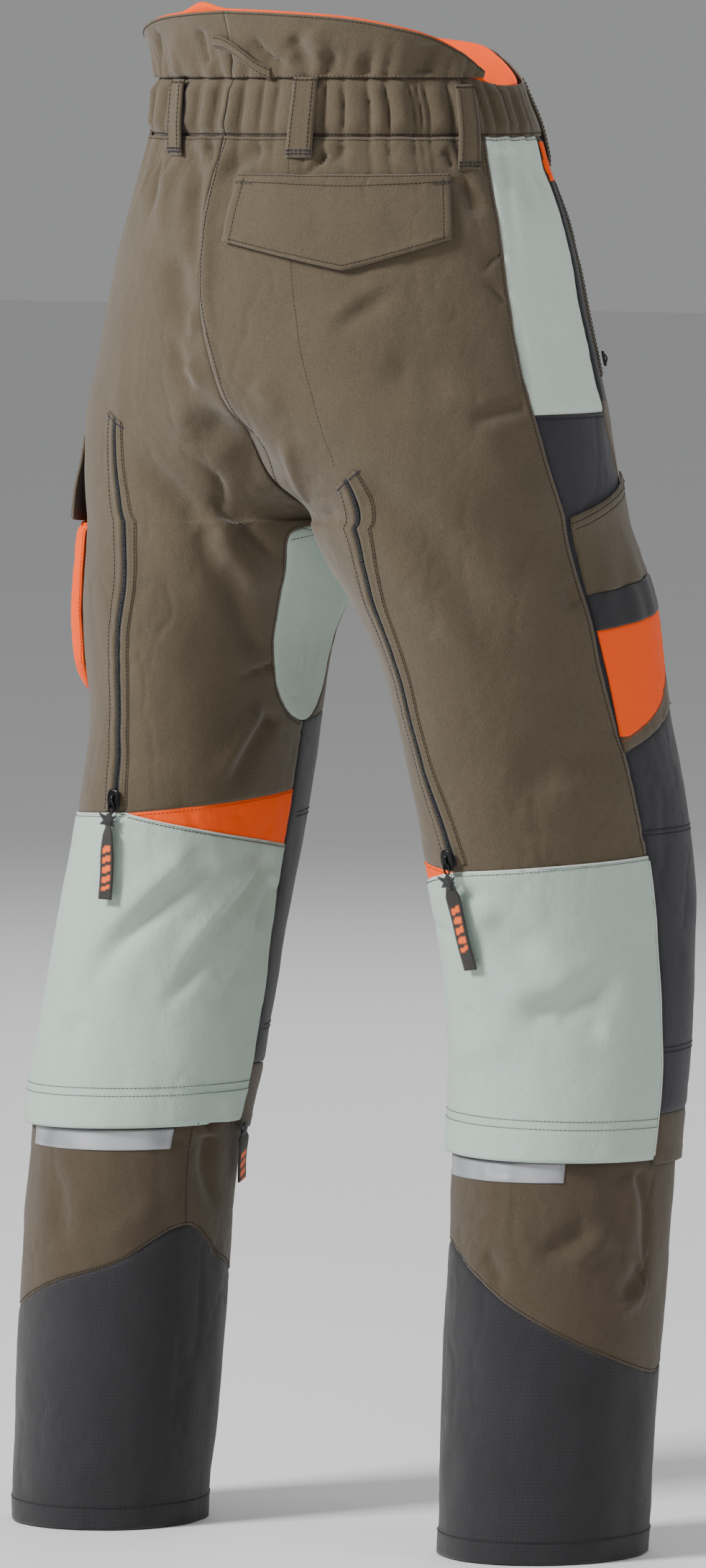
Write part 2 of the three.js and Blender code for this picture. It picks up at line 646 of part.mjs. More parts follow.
// The origin is the middle of the footprint, at the hems.
const extent = new THREE.Box3().setFromObject(trousers);
const middle = extent.getCenter(new THREE.Vector3());
trousers.position.set(-middle.x, -middle.y, -extent.min.z);

export default trousers;
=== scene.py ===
"""Forestry protective trousers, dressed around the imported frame.

The cloth is laid on one shared garment surface.  A place on it is (side, u, z): u runs from the
front seam (0) round the outside of the leg to the back seam (1), z is the height above the hems.
Shapes are worked out in millimetres and written to the meshes in metres.
"""
import math

import bpy
import numpy as np
from mathutils import Matrix, Vector
from mathutils.bvhtree import BVHTree


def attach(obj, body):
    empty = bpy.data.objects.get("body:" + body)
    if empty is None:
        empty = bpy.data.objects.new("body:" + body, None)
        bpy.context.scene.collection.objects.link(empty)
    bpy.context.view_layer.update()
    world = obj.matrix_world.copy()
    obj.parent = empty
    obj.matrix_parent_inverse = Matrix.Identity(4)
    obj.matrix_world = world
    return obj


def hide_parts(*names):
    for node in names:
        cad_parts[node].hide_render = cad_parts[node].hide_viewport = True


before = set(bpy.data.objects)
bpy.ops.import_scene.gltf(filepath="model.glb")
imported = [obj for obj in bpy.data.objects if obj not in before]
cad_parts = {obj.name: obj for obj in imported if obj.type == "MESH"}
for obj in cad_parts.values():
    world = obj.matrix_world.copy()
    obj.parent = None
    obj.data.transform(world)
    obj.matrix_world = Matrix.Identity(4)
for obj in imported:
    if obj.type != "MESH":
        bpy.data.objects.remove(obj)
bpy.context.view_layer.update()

MM = 0.001
LEFT, RIGHT = 1, -1
SIDES = (("left", LEFT), ("right", RIGHT))
CENTRING = np.array([0.0687, 7.478, 0.0])
GARMENT = "garment"

# ---------------------------------------------------------------- the garment surface
CROTCH_Z, RISE_Z, BLEND_LOW_Z = 760.0, 894.0, 690.0
TOE_OUT = math.radians(13)
WAIST_SEAM_Z, BAND_TOP_Z, SIDE_TOP_Z = 1045.0, 1088.0, 1084.0
CALF_HEM_Z = {LEFT: 300.0, RIGHT: 293.0}
SHELL_FOOT_Z = {LEFT: 338.0, RIGHT: 326.0}
HIP_PANEL_FOOT_Z = 842.5
LOWER_LEG_LIFT = -4.4
TUCK = 14.0

# height, centre across, centre fore-aft left, right, half width, half depth
LEG_RINGS = [
    (-10, 183.5, 53, 0, 77.5, 86), (20, 183, 52, -2.5, 78, 86.5), (130, 180, 46.5, -13.5, 81.5, 88),
    (235, 177, 39, -28, 82, 91), (290, 175, 32, -37, 83, 91.5), (340, 172, 23, -47, 87, 91),
    (395, 168, 11, -54, 85.5, 96), (450, 163, 1, -57, 83, 104), (500, 158, -8, -56, 81, 112),
    (555, 151, -14, -50, 80.5, 114), (610, 143, -15, -43, 81, 116), (665, 135.5, -9, -33, 88, 119),
    (700, 126, -7, -27, 96, 124), (735, 113, -5, -20, 103.5, 130), (760, 106.5, -3, -14, 106.5, 133),
    (815, 107, 0, -4, 107, 142), (875, 106, 0, 0, 106, 149), (1150, 100, 2, 2, 104, 120),
]
KNEE_SHIFT = [(450, 0), (500, 2), (555, 5), (610, 5), (665, 3), (735, 0)]
# height, half width, half depth, centre fore-aft
PELVIS_RINGS = [
    (690, 215, 148, -8), (760, 214, 150, -5), (836, 212, 153, 0), (868, 206.5, 151, 0),
    (922, 195, 146, 0), (976, 182, 138, 0), (1019, 166, 126, 0), (1047, 157, 119, 0),
    (1090, 148, 111, 8), (1145, 151, 120, 9),
]
SEAT_SEAM_LEAN = [
    (834, 0), (854, 0.009), (881, 0.021), (909, 0.035), (937, 0.046), (1000, 0.05), (1046, 0.045),
    (1089, 0.032), (1145, 0.03),
]


def smooth(t):
    t = np.clip(t, 0.0, 1.0)
    return t * t * (3 - 2 * t)


def along(rows, x, column=1):
    """A smooth cubic through the rows of a table."""
    xs = np.array([r[0] for r in rows], float)
    ys = np.array([r[column] for r in rows], float)
    slopes = np.empty_like(ys)
    slopes[1:-1] = (ys[2:] - ys[:-2]) / (xs[2:] - xs[:-2])
    slopes[0] = (ys[1] - ys[0]) / (xs[1] - xs[0])
    slopes[-1] = (ys[-1] - ys[-2]) / (xs[-1] - xs[-2])
    x = np.clip(np.asarray(x, float), xs[0], xs[-1])
    i = np.clip(np.searchsorted(xs, x, side="right") - 1, 0, len(xs) - 2)
    h = xs[i + 1] - xs[i]
    t = (x - xs[i]) / h
    t2, t3 = t * t, t * t * t
    return ((2 * t3 - 3 * t2 + 1) * ys[i] + (t3 - 2 * t2 + t) * slopes[i] * h
            + (3 * t2 - 2 * t3) * ys[i + 1] + (t3 - t2) * slopes[i + 1] * h)


def leg_point(side, u, z):
    shift = along(KNEE_SHIFT, z) if side == RIGHT else 0.0
    half_width, half_depth = along(LEG_RINGS, z, 4), along(LEG_RINGS, z, 5)
    centre_x = np.where(z >= CROTCH_Z, half_width, along(LEG_RINGS, z, 1) + shift)
    centre_y = along(LEG_RINGS, z, 2 if side == LEFT else 3) + shift
    turn = TOE_OUT * smooth((854 - z) / 150)
    x = -half_width * np.cos(2 * np.pi * u)
    y = -half_depth * np.sin(2 * np.pi * u)
    return (side * (centre_x + x * np.cos(turn) - y * np.sin(turn)),
            centre_y + x * np.sin(turn) + y * np.cos(turn))


def skin_half(side, u, z):
    leg_x, leg_y = leg_point(side, u, z)
    seam = np.cos(np.pi * u) ** 4
    inside = np.clip((RISE_Z - z) / (RISE_Z - CROTCH_Z), 0, 1)
    rise = np.where(z > CROTCH_Z, np.sqrt(1 - inside ** 2), 0.0)
    share = seam * rise + (1 - seam) * smooth((z - BLEND_LOW_Z) / (RISE_Z - BLEND_LOW_Z))
    share = np.where(u > 1, 0.0, share)
    angle = np.pi * u * (1 - side * np.maximum(0, along(SEAT_SEAM_LEAN, z)))
    x = side * along(PELVIS_RINGS, z, 1) * np.sin(angle)
    y = along(PELVIS_RINGS, z, 3) - along(PELVIS_RINGS, z, 2) * np.cos(angle)
    return np.stack([share * x + (1 - share) * leg_x, share * y + (1 - share) * leg_y, z + 0 * u], -1)


def skin(side, u, z):
    """The bare surface in millimetres; above the crotch, u past 1 carries on round the other half."""
    u, z = np.broadcast_arrays(np.asarray(u, float), np.asarray(z, float))
    own = skin_half(side, u, z)
    over = (u > 1) & (z > CROTCH_Z)
    if over.any():
        own = np.where(over[..., None], skin_half(-side, 2 - u, z), own)
    return own + CENTRING


def unit(v):
    return v / np.maximum(np.linalg.norm(v, axis=-1, keepdims=True), 1e-9)


def skin_frame(side, u, z):
    """Point, outward normal, direction round the body and direction up."""
    u, z = np.asarray(u, float), np.asarray(z, float)
    point = skin(side, u, z)
    around = unit(skin(side, np.minimum(u + 0.002, 2), z) - skin(side, np.maximum(u - 0.002, 0), z))
    up = unit(skin(side, u, z + 1) - skin(side, u, z - 1))
    return point, unit(side * np.cross(around, up)), around, up


# ---------------------------------------------------------------- relief: folds, drag lines, ripple
class Ripple:
    """Smooth random relief from a fixed lattice, the same every run."""

    def __init__(self, seed):
        self.lattice = np.random.default_rng(seed).uniform(-1, 1, (24, 24, 24))

    def __call__(self, p, size):
        q = p / np.asarray(size, float) + 1000.0
        i = np.floor(q).astype(int)
        f = smooth(q - i)
        total = 0.0
        for dx in (0, 1):
            for dy in (0, 1):
                for dz in (0, 1):
                    weight = (np.where(dx, f[..., 0], 1 - f[..., 0])
                              * np.where(dy, f[..., 1], 1 - f[..., 1])
                              * np.where(dz, f[..., 2], 1 - f[..., 2]))
                    total = total + weight * self.lattice[
                        (i[..., 0] + dx) % 24, (i[..., 1] + dy) % 24, (i[..., 2] + dz) % 24]
        return total


RIPPLE = Ripple(11)

# side, places from the head of the fold to its tail, half width, height, form, fade at head and tail
SOFT, SHARP = "soft", "sharp"
FOLDS = [
    # hip and seat, left
    (LEFT, [(0.835, 1030), (0.85, 1005), (0.865, 985)], 5, -2.8, SHARP, 0.1, 0.5),
    (LEFT, [(0.805, 1025), (0.81, 1005), (0.83, 985)], 8, 1.8, SOFT, 0.2, 0.5),
    (LEFT, [(0.87, 1025), (0.89, 1005), (0.905, 980), (0.91, 960)], 10, 2, SOFT, 0.2, 0.5),
    (LEFT, [(0.965, 1040), (0.98, 1030), (0.99, 1020)], 6, -3, SHARP, 0.1, 0.5),
    (LEFT, [(0.93, 1040), (0.95, 1020), (0.975, 990), (0.99, 960), (1, 935)], 8, -3.4, SOFT, 0.1, 0.5),
    (LEFT, [(0.96, 965), (0.96, 935), (0.97, 915), (0.975, 895)], 13, -3.4, SOFT, 0.3, 0.4),
    (LEFT, [(0.98, 925), (0.985, 910), (0.98, 895)], 6, 2.2, SOFT, 0.4, 0.4),
    (LEFT, [(0.955, 880), (0.97, 870), (0.98, 860)], 7, 2.2, SOFT, 0.3, 0.4),
    (LEFT, [(0.945, 900), (0.95, 880), (0.965, 850)], 8, -1.8, SOFT, 0.3, 0.4),
    (LEFT, [(0.925, 840), (0.96, 830), (0.995, 815), (0.995, 785)], 20, -6, SOFT, 0.3, 0.4),
    (LEFT, [(0.895, 815), (0.92, 790), (0.865, 760), (0.9, 725)], 7, -2.6, SHARP, 0.3, 0.25),
    (LEFT, [(0.81, 820), (0.84, 780), (0.82, 735), (0.88, 675)], 10, -2.2, SOFT, 0.3, 0.4),
    (LEFT, [(0.84, 735), (0.855, 705), (0.89, 670), (0.925, 655)], 8, -2, SOFT, 0.3, 0.3),
    (LEFT, [(0.885, 790), (0.84, 750), (0.89, 695)], 9, 1.9, SOFT, 0.3, 0.3),
    # knee, left
    (LEFT, [(0.93, 650), (0.905, 645), (0.875, 640)], 4, -1.6, SHARP, 0.05, 0.5),
    (LEFT, [(0.94, 615), (0.905, 580), (0.885, 550)], 9, -3, SOFT, 0.1, 0.4),
    (LEFT, [(0.92, 620), (0.885, 580), (0.86, 560)], 9, 2, SOFT, 0.2, 0.4),
    (LEFT, [(0.66, 585), (0.76, 580), (0.84, 585)], 14, -1.4, SOFT, 0.4, 0.4),
    # calf, left
    (LEFT, [(0.88, 510), (0.845, 490), (0.8, 465), (0.75, 435), (0.72, 410), (0.705, 390)],
     9, -3.8, SOFT, 0.15, 0.45),
    (LEFT, [(0.86, 510), (0.82, 495), (0.775, 470), (0.725, 440)], 12, 2.4, SOFT, 0.2, 0.4),
    (LEFT, [(0.975, 505), (0.945, 480), (0.895, 450), (0.855, 410), (0.81, 380)],
     7, -3.4, SOFT, 0.08, 0.45),
    (LEFT, [(0.95, 505), (0.92, 485), (0.875, 450), (0.835, 420)], 9, 2.4, SOFT, 0.2, 0.4),
    (LEFT, [(0.99, 485), (0.965, 450), (0.935, 415), (0.91, 385)], 7, -2.8, SOFT, 0.05, 0.4),
    (LEFT, [(0.98, 465), (0.94, 430), (0.895, 395)], 7, 1.8, SOFT, 0.3, 0.4),
    (LEFT, [(0.705, 390), (0.705, 360)], 10, -1.8, SOFT, 0.4, 0.4),
    (LEFT, [(0.935, 300), (0.95, 310), (0.965, 315)], 7, -2, SOFT, 0.1, 0.5),
    # lower leg, left
    (LEFT, [(0.945, 295), (0.95, 270), (0.97, 250), (0.995, 225)], 9, -2.6, SOFT, 0.05, 0.5),
    (LEFT, [(0.675, 285), (0.71, 240), (0.735, 205)], 14, -1.6, SOFT, 0.3, 0.4),
    (LEFT, [(0.875, 255), (0.83, 230), (0.77, 215)], 12, 1.4, SOFT, 0.3, 0.4),
    # calf, right
    (RIGHT, [(0.845, 460), (0.78, 460), (0.75, 455)], 4, -1.6, SOFT, 0.1, 0.4),
    (RIGHT, [(0.77, 405), (0.745, 400), (0.725, 390)], 3.5, -1.4, SHARP, 0.3, 0.2),
    (RIGHT, [(0.7, 475), (0.66, 455), (0.61, 455)], 13, -3, SOFT, 0.3, 0.4),
    (RIGHT, [(0.69, 395), (0.625, 405), (0.565, 420), (0.53, 445)], 12, -3.4, SOFT, 0.3, 0.4),
    (RIGHT, [(0.625, 405), (0.59, 395), (0.555, 390)], 9, -2.4, SOFT, 0.3, 0.3),
    (RIGHT, [(0.705, 420), (0.635, 420), (0.57, 435)], 12, 2, SOFT, 0.3, 0.4),
    (RIGHT, [(0.74, 495), (0.71, 490), (0.68, 490)], 6, -2, SOFT, 0.1, 0.5),
    (RIGHT, [(0.815, 365), (0.75, 375), (0.675, 385)], 12, 1.5, SOFT, 0.3, 0.4),
    # lower leg, right
    (RIGHT, [(0.495, 285), (0.47, 260), (0.465, 235), (0.46, 195)], 6, -2.2, SOFT, 0.05, 0.5),
    (RIGHT, [(0.51, 285), (0.5, 260), (0.5, 220)], 9, 1.6, SOFT, 0.1, 0.5),
    (RIGHT, [(0.555, 245), (0.595, 235), (0.64, 220)], 10, -2.6, SOFT, 0.3, 0.4),
    (RIGHT, [(0.525, 245), (0.565, 230), (0.59, 220)], 9, 2, SOFT, 0.3, 0.4),
    (RIGHT, [(0.465, 215), (0.49, 200), (0.515, 190)], 9, -2.6, SOFT, 0.1, 0.4),
    (RIGHT, [(0.46, 200), (0.485, 190), (0.525, 180)], 6, 1.8, SOFT, 0.1, 0.4),
    (RIGHT, [(0.72, 230), (0.7, 215), (0.685, 195)], 7, -1.8, SOFT, 0.3, 0.4),
    # thigh and knee, right
    (RIGHT, [(0.81, 810), (0.755, 785), (0.67, 755), (0.62, 710), (0.58, 680)],
     16, -2.8, SOFT, 0.2, 0.4),
    (RIGHT, [(0.69, 845), (0.59, 795), (0.525, 750)], 14, 1.7, SOFT, 0.3, 0.4),
    (RIGHT, [(0.71, 745), (0.665, 700), (0.63, 650)], 14, 1.6, SOFT, 0.3, 0.4),
    (RIGHT, [(0.525, 720), (0.52, 710), (0.515, 700)], 6, -1.4, SOFT, 0.3, 0.2),
    (RIGHT, [(0.635, 570), (0.565, 585), (0.495, 590)], 16, -2.2, SOFT, 0.3, 0.3),
    (RIGHT, [(0.855, 760), (0.825, 765), (0.79, 770)], 6, -1.8, SOFT, 0.2, 0.4),
    (RIGHT, [(0.92, 830), (0.92, 805), (0.905, 770)], 7, 2.2, SOFT, 0.3, 0.4),
    # seat, right
    (RIGHT, [(0.835, 900), (0.78, 920), (0.725, 935)], 8, -1.9, SOFT, 0.3, 0.4),
    (RIGHT, [(0.83, 910), (0.78, 930), (0.73, 945)], 8, 1.3, SOFT, 0.3, 0.4),
    (RIGHT, [(0.575, 960), (0.595, 955), (0.615, 945)], 4, -1.6, SHARP, 0.05, 0.5),
    (RIGHT, [(0.585, 925), (0.6, 935), (0.62, 940)], 4, -1.5, SHARP, 0.05, 0.5),
    (RIGHT, [(0.585, 850), (0.63, 845), (0.675, 835)], 6, -2, SOFT, 0.1, 0.4),
    (RIGHT, [(0.78, 880), (0.72, 870), (0.7, 845)], 14, -2.2, SOFT, 0.3, 0.4),
    (RIGHT, [(0.625, 1015), (0.61, 1000), (0.6, 985)], 6, -2.4, SOFT, 0.2, 0.4),
    (RIGHT, [(0.825, 1035), (0.84, 1025), (0.865, 1015)], 6, -3, SHARP, 0.1, 0.4),
    (RIGHT, [(0.8, 1040), (0.81, 1030), (0.82, 1025)], 5, -1.8, SOFT, 0.1, 0.4),
    (RIGHT, [(0.645, 1035), (0.635, 1030), (0.63, 1020)], 5, -2.2, SHARP, 0.1, 0.4),
    (RIGHT, [(0.975, 1040), (0.995, 1015), (0.995, 985), (0.99, 955), (0.99, 915), (0.995, 875)],
     7, 2.2, SOFT, 0.15, 0.3),
    (RIGHT, [(0.93, 1040), (0.95, 1030), (0.975, 1020), (0.98, 1005)], 8, -2.4, SOFT, 0.1, 0.4),
    (RIGHT, [(0.94, 870), (0.93, 855), (0.92, 840)], 10, 1.7, SOFT, 0.3, 0.4),
    # yoke, right
    (RIGHT, [(0.955, 1120), (0.935, 1105), (0.895, 1095)], 6, -3.2, SHARP, 0.3, 0.3),
    (RIGHT, [(0.89, 1120), (0.87, 1105), (0.885, 1095)], 7, -2.8, SOFT, 0.3, 0.3),
    (RIGHT, [(0.825, 1110), (0.82, 1100), (0.82, 1090)], 6, -2, SOFT, 0.4, 0.1),
    (RIGHT, [(0.775, 1105), (0.765, 1100), (0.76, 1090)], 6, -1.8, SOFT, 0.4, 0.1),
    (RIGHT, [(0.655, 1115), (0.655, 1105), (0.66, 1090)], 9, -2.8, SOFT, 0.2, 0.1),
    (RIGHT, [(0.855, 1125), (0.845, 1115), (0.85, 1100)], 8, 1.8, SOFT, 0.3, 0.3),
    # yoke, left
    (LEFT, [(0.78, 1125), (0.77, 1110), (0.76, 1090)], 6, -3, SHARP, 0.2, 0.1),
    (LEFT, [(0.93, 1125), (0.935, 1110), (0.945, 1095)], 7, -3.2, SHARP, 0.2, 0.2),
    (LEFT, [(0.86, 1125), (0.86, 1110), (0.85, 1090)], 10, 1.6, SOFT, 0.3, 0.1),
    # hip panel, right
    (RIGHT, [(0.535, 1035), (0.535, 1020), (0.54, 1000)], 4, -1.8, SOFT, 0.05, 0.5),
    (RIGHT, [(0.505, 1035), (0.5, 1015), (0.495, 985)], 5, -2, SOFT, 0.05, 0.5),
    (RIGHT, [(0.455, 1035), (0.44, 1020), (0.425, 1000)], 5, -1.8, SOFT, 0.05, 0.5),
    (RIGHT, [(0.57, 920), (0.58, 890), (0.58, 855)], 5, -1.4, SOFT, 0.3, 0.3),
]


def fold_line(side, places):
    places = np.array(places, float)
    n = len(places)
    t = np.linspace(0, n - 1, max(3, 5 * n))
    index = np.arange(n)
    if n > 2:
        u = along(list(zip(index, places[:, 0])), t)
        z = along(list(zip(index, places[:, 1])), t)
    else:
        u, z = np.interp(t, index, places[:, 0]), np.interp(t, index, places[:, 1])
    return skin(side, u, z)


FOLD_DEPTH, CREASE_DEPTH = 2.0, 0.75
LAID_FOLDS = [(fold, fold_line(fold[0], fold[1])) for fold in FOLDS]


def near_line(p, line):
    """Distance from a line, and the share of its length at the nearest place."""
    a, run = line[:-1], line[1:] - line[:-1]
    length = np.linalg.norm(run, axis=1)
    start = np.concatenate([[0], np.cumsum(length)])
    best, place = np.full(len(p), 1e9), np.zeros(len(p))
    for k in range(len(a)):
        t = np.clip((p - a[k]) @ run[k] / max(length[k] ** 2, 1e-9), 0, 1)
        offset = p - (a[k] + t[:, None] * run[k])
        d = np.linalg.norm(offset, axis=1)
        closer = d < best
        best = np.where(closer, d, best)
        place = np.where(closer, start[k] + t * length[k], place)
    return best, place / start[-1]


def fold_height(point, fold, line):
    """One fold's share of the relief: a ridge or a groove that fades at its head and tail."""
    _, _, width, height, form, head, tail = fold
    out = np.zeros(point.shape[:-1])
    reach = 3.2 * width
    near = np.all((point > line.min(0) - reach) & (point < line.max(0) + reach), axis=-1)
    if not near.any():
        return out
    best, where = near_line(point[near], line)
    strength = smooth(where / max(head, 1e-3)) * smooth((1 - where) / max(tail, 1e-3))
    if form == SHARP:
        shape = np.exp(-np.abs(best) / (0.55 * width)) * np.exp(-(best / (2 * width)) ** 2)
    else:
        shape = np.exp(-(best / width) ** 2)
    out[near] = FOLD_DEPTH * height * strength * shape
    return out


def relief(point):
    """How far the worn cloth stands off the bare surface, in millimetres."""
    height = 1.4 * RIPPLE(point, (55, 55, 110)) + 0.75 * RIPPLE(point + 71, (19, 19, 34))
    height = height + 0.17 * RIPPLE(point + 13, (7, 7, 9))
    bend = RIPPLE(point + 57, (26, 26, 62)) + 0.35 * RIPPLE(point + 29, (9, 9, 15))
    where = smooth(0.5 + 1.6 * RIPPLE(point + 83, (70, 70, 80)))
    height = height - CREASE_DEPTH * where * np.exp(-(bend / 0.085) ** 2)
    for fold, line in LAID_FOLDS:
        height = height + fold_height(point, fold, line)
    return height


# ---------------------------------------------------------------- meshes
SHEETS = []
NARROWEST_CUT = 10.2


def settle(name, mesh, material, slot, body, nodes=()):
    """Puts a finished mesh in the scene, riding on its body and standing for its nodes."""
    piece = bpy.data.objects.new(name, mesh)
    bpy.context.scene.collection.objects.link(piece)
    if material is not None:
        mesh.materials.append(material)
    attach(piece, body)
    if nodes:
        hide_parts(*nodes)
    return piece


def mesh_of(name, points, faces, uvs=None, seam=None):
    mesh = bpy.data.meshes.new(name)
    mesh.from_pydata((np.asarray(points) * MM).tolist(), [], faces)
    if uvs is not None:
        layer = mesh.uv_layers.new(name="cloth")
        corners = np.zeros(len(mesh.loops), np.int32)
        mesh.loops.foreach_get("vertex_index", corners)
        layer.data.foreach_set("uv", (np.asarray(uvs)[corners] * MM).ravel().astype(np.float32))
    if seam is not None:
        worn = mesh.attributes.new("seam", "FLOAT", "POINT")
        worn.data.foreach_set("value", np.asarray(seam, np.float32))
    mesh.polygons.foreach_set("use_smooth", [True] * len(mesh.polygons))
    mesh.update()
    return mesh


def closed_shell(outer, inner, ring=False):
    """Points and faces of a closed thin shell between two grids of points."""
    columns, rows = outer.shape[:2]
    points = np.concatenate([outer.reshape(-1, 3), inner.reshape(-1, 3)])
    index = np.arange(columns * rows).reshape(columns, rows)
    across = np.roll(index, -1, 0) if ring else index[1:]
    here = index if ring else index[:-1]
    under = columns * rows
    faces = [np.stack([here[:, :-1], across[:, :-1], across[:, 1:], here[:, 1:]], -1).reshape(-1, 4)]
    faces.append(faces[0][:, ::-1] + under)
    foot = np.stack([here[:, 0] + under, across[:, 0] + under, across[:, 0], here[:, 0]], -1)
    top = np.stack([here[:, -1], across[:, -1], across[:, -1] + under, here[:, -1] + under], -1)
    faces += [foot, top]
    if not ring:
        a, b = index[0], index[-1]
        faces.append(np.stack([a[:-1] + under, a[:-1], a[1:], a[1:] + under], -1))
        faces.append(np.stack([b[:-1], b[:-1] + under, b[1:] + under, b[1:]], -1))
    faces = np.concatenate(faces)
    tri = points[faces]
    volume = np.einsum("ij,ij->i", tri[:, 0], np.cross(tri[:, 1], tri[:, 2])).sum()
    volume += np.einsum("ij,ij->i", tri[:, 0], np.cross(tri[:, 2], tri[:, 3])).sum()
    return points, (faces if volume > 0 else faces[:, ::-1]).tolist()


def curve_through(places):
    """Dense points along a smooth line through (u, z) places."""
    places = np.array(places, float)
    if len(places) == 2:
        t = np.linspace(0, 1, 30)[:, None]
        return places[0] * (1 - t) + places[1] * t
    index = np.arange(len(places))
    t = np.linspace(0, len(places) - 1, 12 * len(places))
    return np.stack([along(list(zip(index, places[:, 0])), t),
                     along(list(zip(index, places[:, 1])), t)], -1)


def part_of(line, low, high):
    """The stretch of a rising line between two heights, with its ends on them."""
    order = np.argsort(line[:, 1], kind="stable")
    u = lambda z: float(np.interp(z, line[order, 1], line[order, 0]))
    inside = line[(line[:, 1] > low + 0.3) & (line[:, 1] < high - 0.3)]
    return np.concatenate([[[u(low), low]], inside, [[u(high), high]]])


def spread(line, t):
    """Places at shares t of the length of a line."""
    step = np.hypot(np.diff(line[:, 0]) * 500, np.diff(line[:, 1]))
    run = np.concatenate([[0], np.cumsum(step)])
    want = t * run[-1]
    return np.stack([np.interp(want, run, line[:, 0]), np.interp(want, run, line[:, 1])], -1)


def patch(guides, columns, rows):
    """A grid of (u, z) over guide lines that run from foot to top."""
    s, t = np.linspace(0, 1, columns + 1), np.linspace(0, 1, rows + 1)
    lines = np.stack([spread(np.asarray(g, float), t) for g in guides])
    first = np.array([g[0][0] for g in guides])
    places = (first - first[0]) / (first[-1] - first[0])
    k = np.clip(np.searchsorted(places, s, side="right") - 1, 0, len(guides) - 2)
    f = ((s - places[k]) / (places[k + 1] - places[k]))[:, None, None]
    return lines[k] * (1 - f) + lines[k + 1] * f


def lengths(points, axis):
    step = np.linalg.norm(np.diff(points, axis=axis), axis=-1)
    return np.concatenate([np.zeros_like(np.take(step, [0], axis)), np.cumsum(step, axis)], axis)


class Cloth:
    """One cut piece of cloth: its grid, its distances from each border and its shape."""

    def __init__(self, side, guides, pitch=3.0, grid=None):
        self.side = side
        if grid is None:
            trial = patch(guides, 8, 8)
            bare = skin(side, trial[..., 0], trial[..., 1])
            wide, tall = lengths(bare, 0)[-1].max(), lengths(bare, 1)[:, -1].max()
            grid = patch(guides, max(2, math.ceil(wide / pitch)), max(2, math.ceil(tall / pitch)))
        self.u, self.z = grid[..., 0], grid[..., 1]
        self.bare, self.out, _, _ = skin_frame(side, self.u, self.z)
        self.across, self.up = lengths(self.bare, 0), lengths(self.bare, 1)
        self.from_first = self.across
        self.from_last = self.across[-1:] - self.across
        self.from_foot = self.up
        self.from_top = self.up[:, -1:] - self.up
        self.flat = (float(self.across[-1].max()), float(self.up[:, -1].max()))
        du, dv = np.diff(self.bare, axis=0)[:, :-1], np.diff(self.bare, axis=1)[:-1]
        self.area = float(np.linalg.norm(np.cross(du, dv), axis=-1).sum())
        self.height = relief(self.bare)

    def border(self, which="abcd"):
        """Distance from the nearest of the named borders: a first, b last, c foot, d top."""
        sides = {"a": self.from_first, "b": self.from_last, "c": self.from_foot, "d": self.from_top}
        return np.min([sides[w] for w in which], axis=0)


def seam_edge(cloth, sunk="abcd", raised="", depth=1.0, band=8.0):
    """Borders roll down into their seams; a felled border stands a little proud as a band."""
    height = np.zeros_like(cloth.u)
    if sunk:
        d = cloth.border(sunk)
        height = height - depth * np.exp(-((d / 2.3) ** 2))
        pucker = RIPPLE(cloth.bare + 31, (5.5, 5.5, 5.5))
        height = height + 0.3 * pucker * np.exp(-((d / 9.0) ** 2))
    if raised:
        d = cloth.border(raised)
        height = height + 0.55 * (1 - smooth((d - band) / 2.0))
    return height


def sew_in(name, cloth, material, slot, nodes=(), lift=0.0, thick=1.1, extra=None, body=GARMENT,
           held="stretched", ring=False, slack=1.02, follow=True):
    """Makes the cloth's closed shell and says what was cut for it."""
    height = lift + (cloth.height if follow else 0) + (0 if extra is None else extra)
    outer = cloth.bare + cloth.out * height[..., None]
    inner = outer - cloth.out * thick
    points, faces = closed_shell(outer, inner, ring)
    uv = np.stack([cloth.across, cloth.up], -1).reshape(-1, 2)
    near = np.exp(-cloth.border("cd" if ring else "abcd") / 3.0).reshape(-1)
    mesh = mesh_of(name, points, faces, np.concatenate([uv, uv]), np.concatenate([near, near]))
    piece = settle(name, mesh, material, slot, body, nodes)
    wide, tall = (max(size, NARROWEST_CUT) for size in cloth.flat)
    area = min(cloth.area * slack, wide * tall)
    if area < 0.4 * wide * tall:
        tall = max(area / (0.7 * wide), NARROWEST_CUT)
        area = min(area, wide * tall)
    piece["flat"] = [wide * MM, tall * MM, area * MM * MM]
    SHEETS.append((piece, held))


# ---------------------------------------------------------------- seam lines
SIDE_SEAM = curve_through([
    (0.474, 510), (0.48, 585), (0.484, 603), (0.495, 652), (0.498, 690), (0.503, 725), (0.514, 762),
    (0.527, 780), (0.55, 808), (0.573, 842), (0.58, 875), (0.572, 954), (0.559, 1050)])
HIP_FRONT = curve_through([
    (0.345, 622), (0.352, 700), (0.385, 790), (0.412, 842), (0.404, 900), (0.398, 950),
    (0.388, 995), (0.385, 1050)])
GUSSET_LINE = curve_through([
    (1.0, 604), (0.985, 606), (0.964, 613), (0.943, 628), (0.932, 648), (0.92, 681), (0.91, 710),
    (0.905, 744), (0.922, 754), (0.958, 758.5), (1.0, 760)])
KNEE_OUTER_Z = {LEFT: 530.0, RIGHT: 515.0}
KNEE_TIP = {LEFT: (0.74, 539.0), RIGHT: (0.73, 505.0)}
KNEE_INNER_Z = {LEFT: 552.0, RIGHT: 520.0}
WEDGE_FOOT_Z = {LEFT: 510.0, RIGHT: 480.0}
WAIST_TOP = [
    (0, 1117), (0.13, 1111), (0.2, 1101), (0.26, 1093), (0.32, 1086), (0.5, 1084), (0.53, 1093),
    (0.57, 1103), (0.62, 1113), (0.66, 1120), (0.71, 1126), (0.785, 1132), (0.905, 1136), (1, 1138),
]
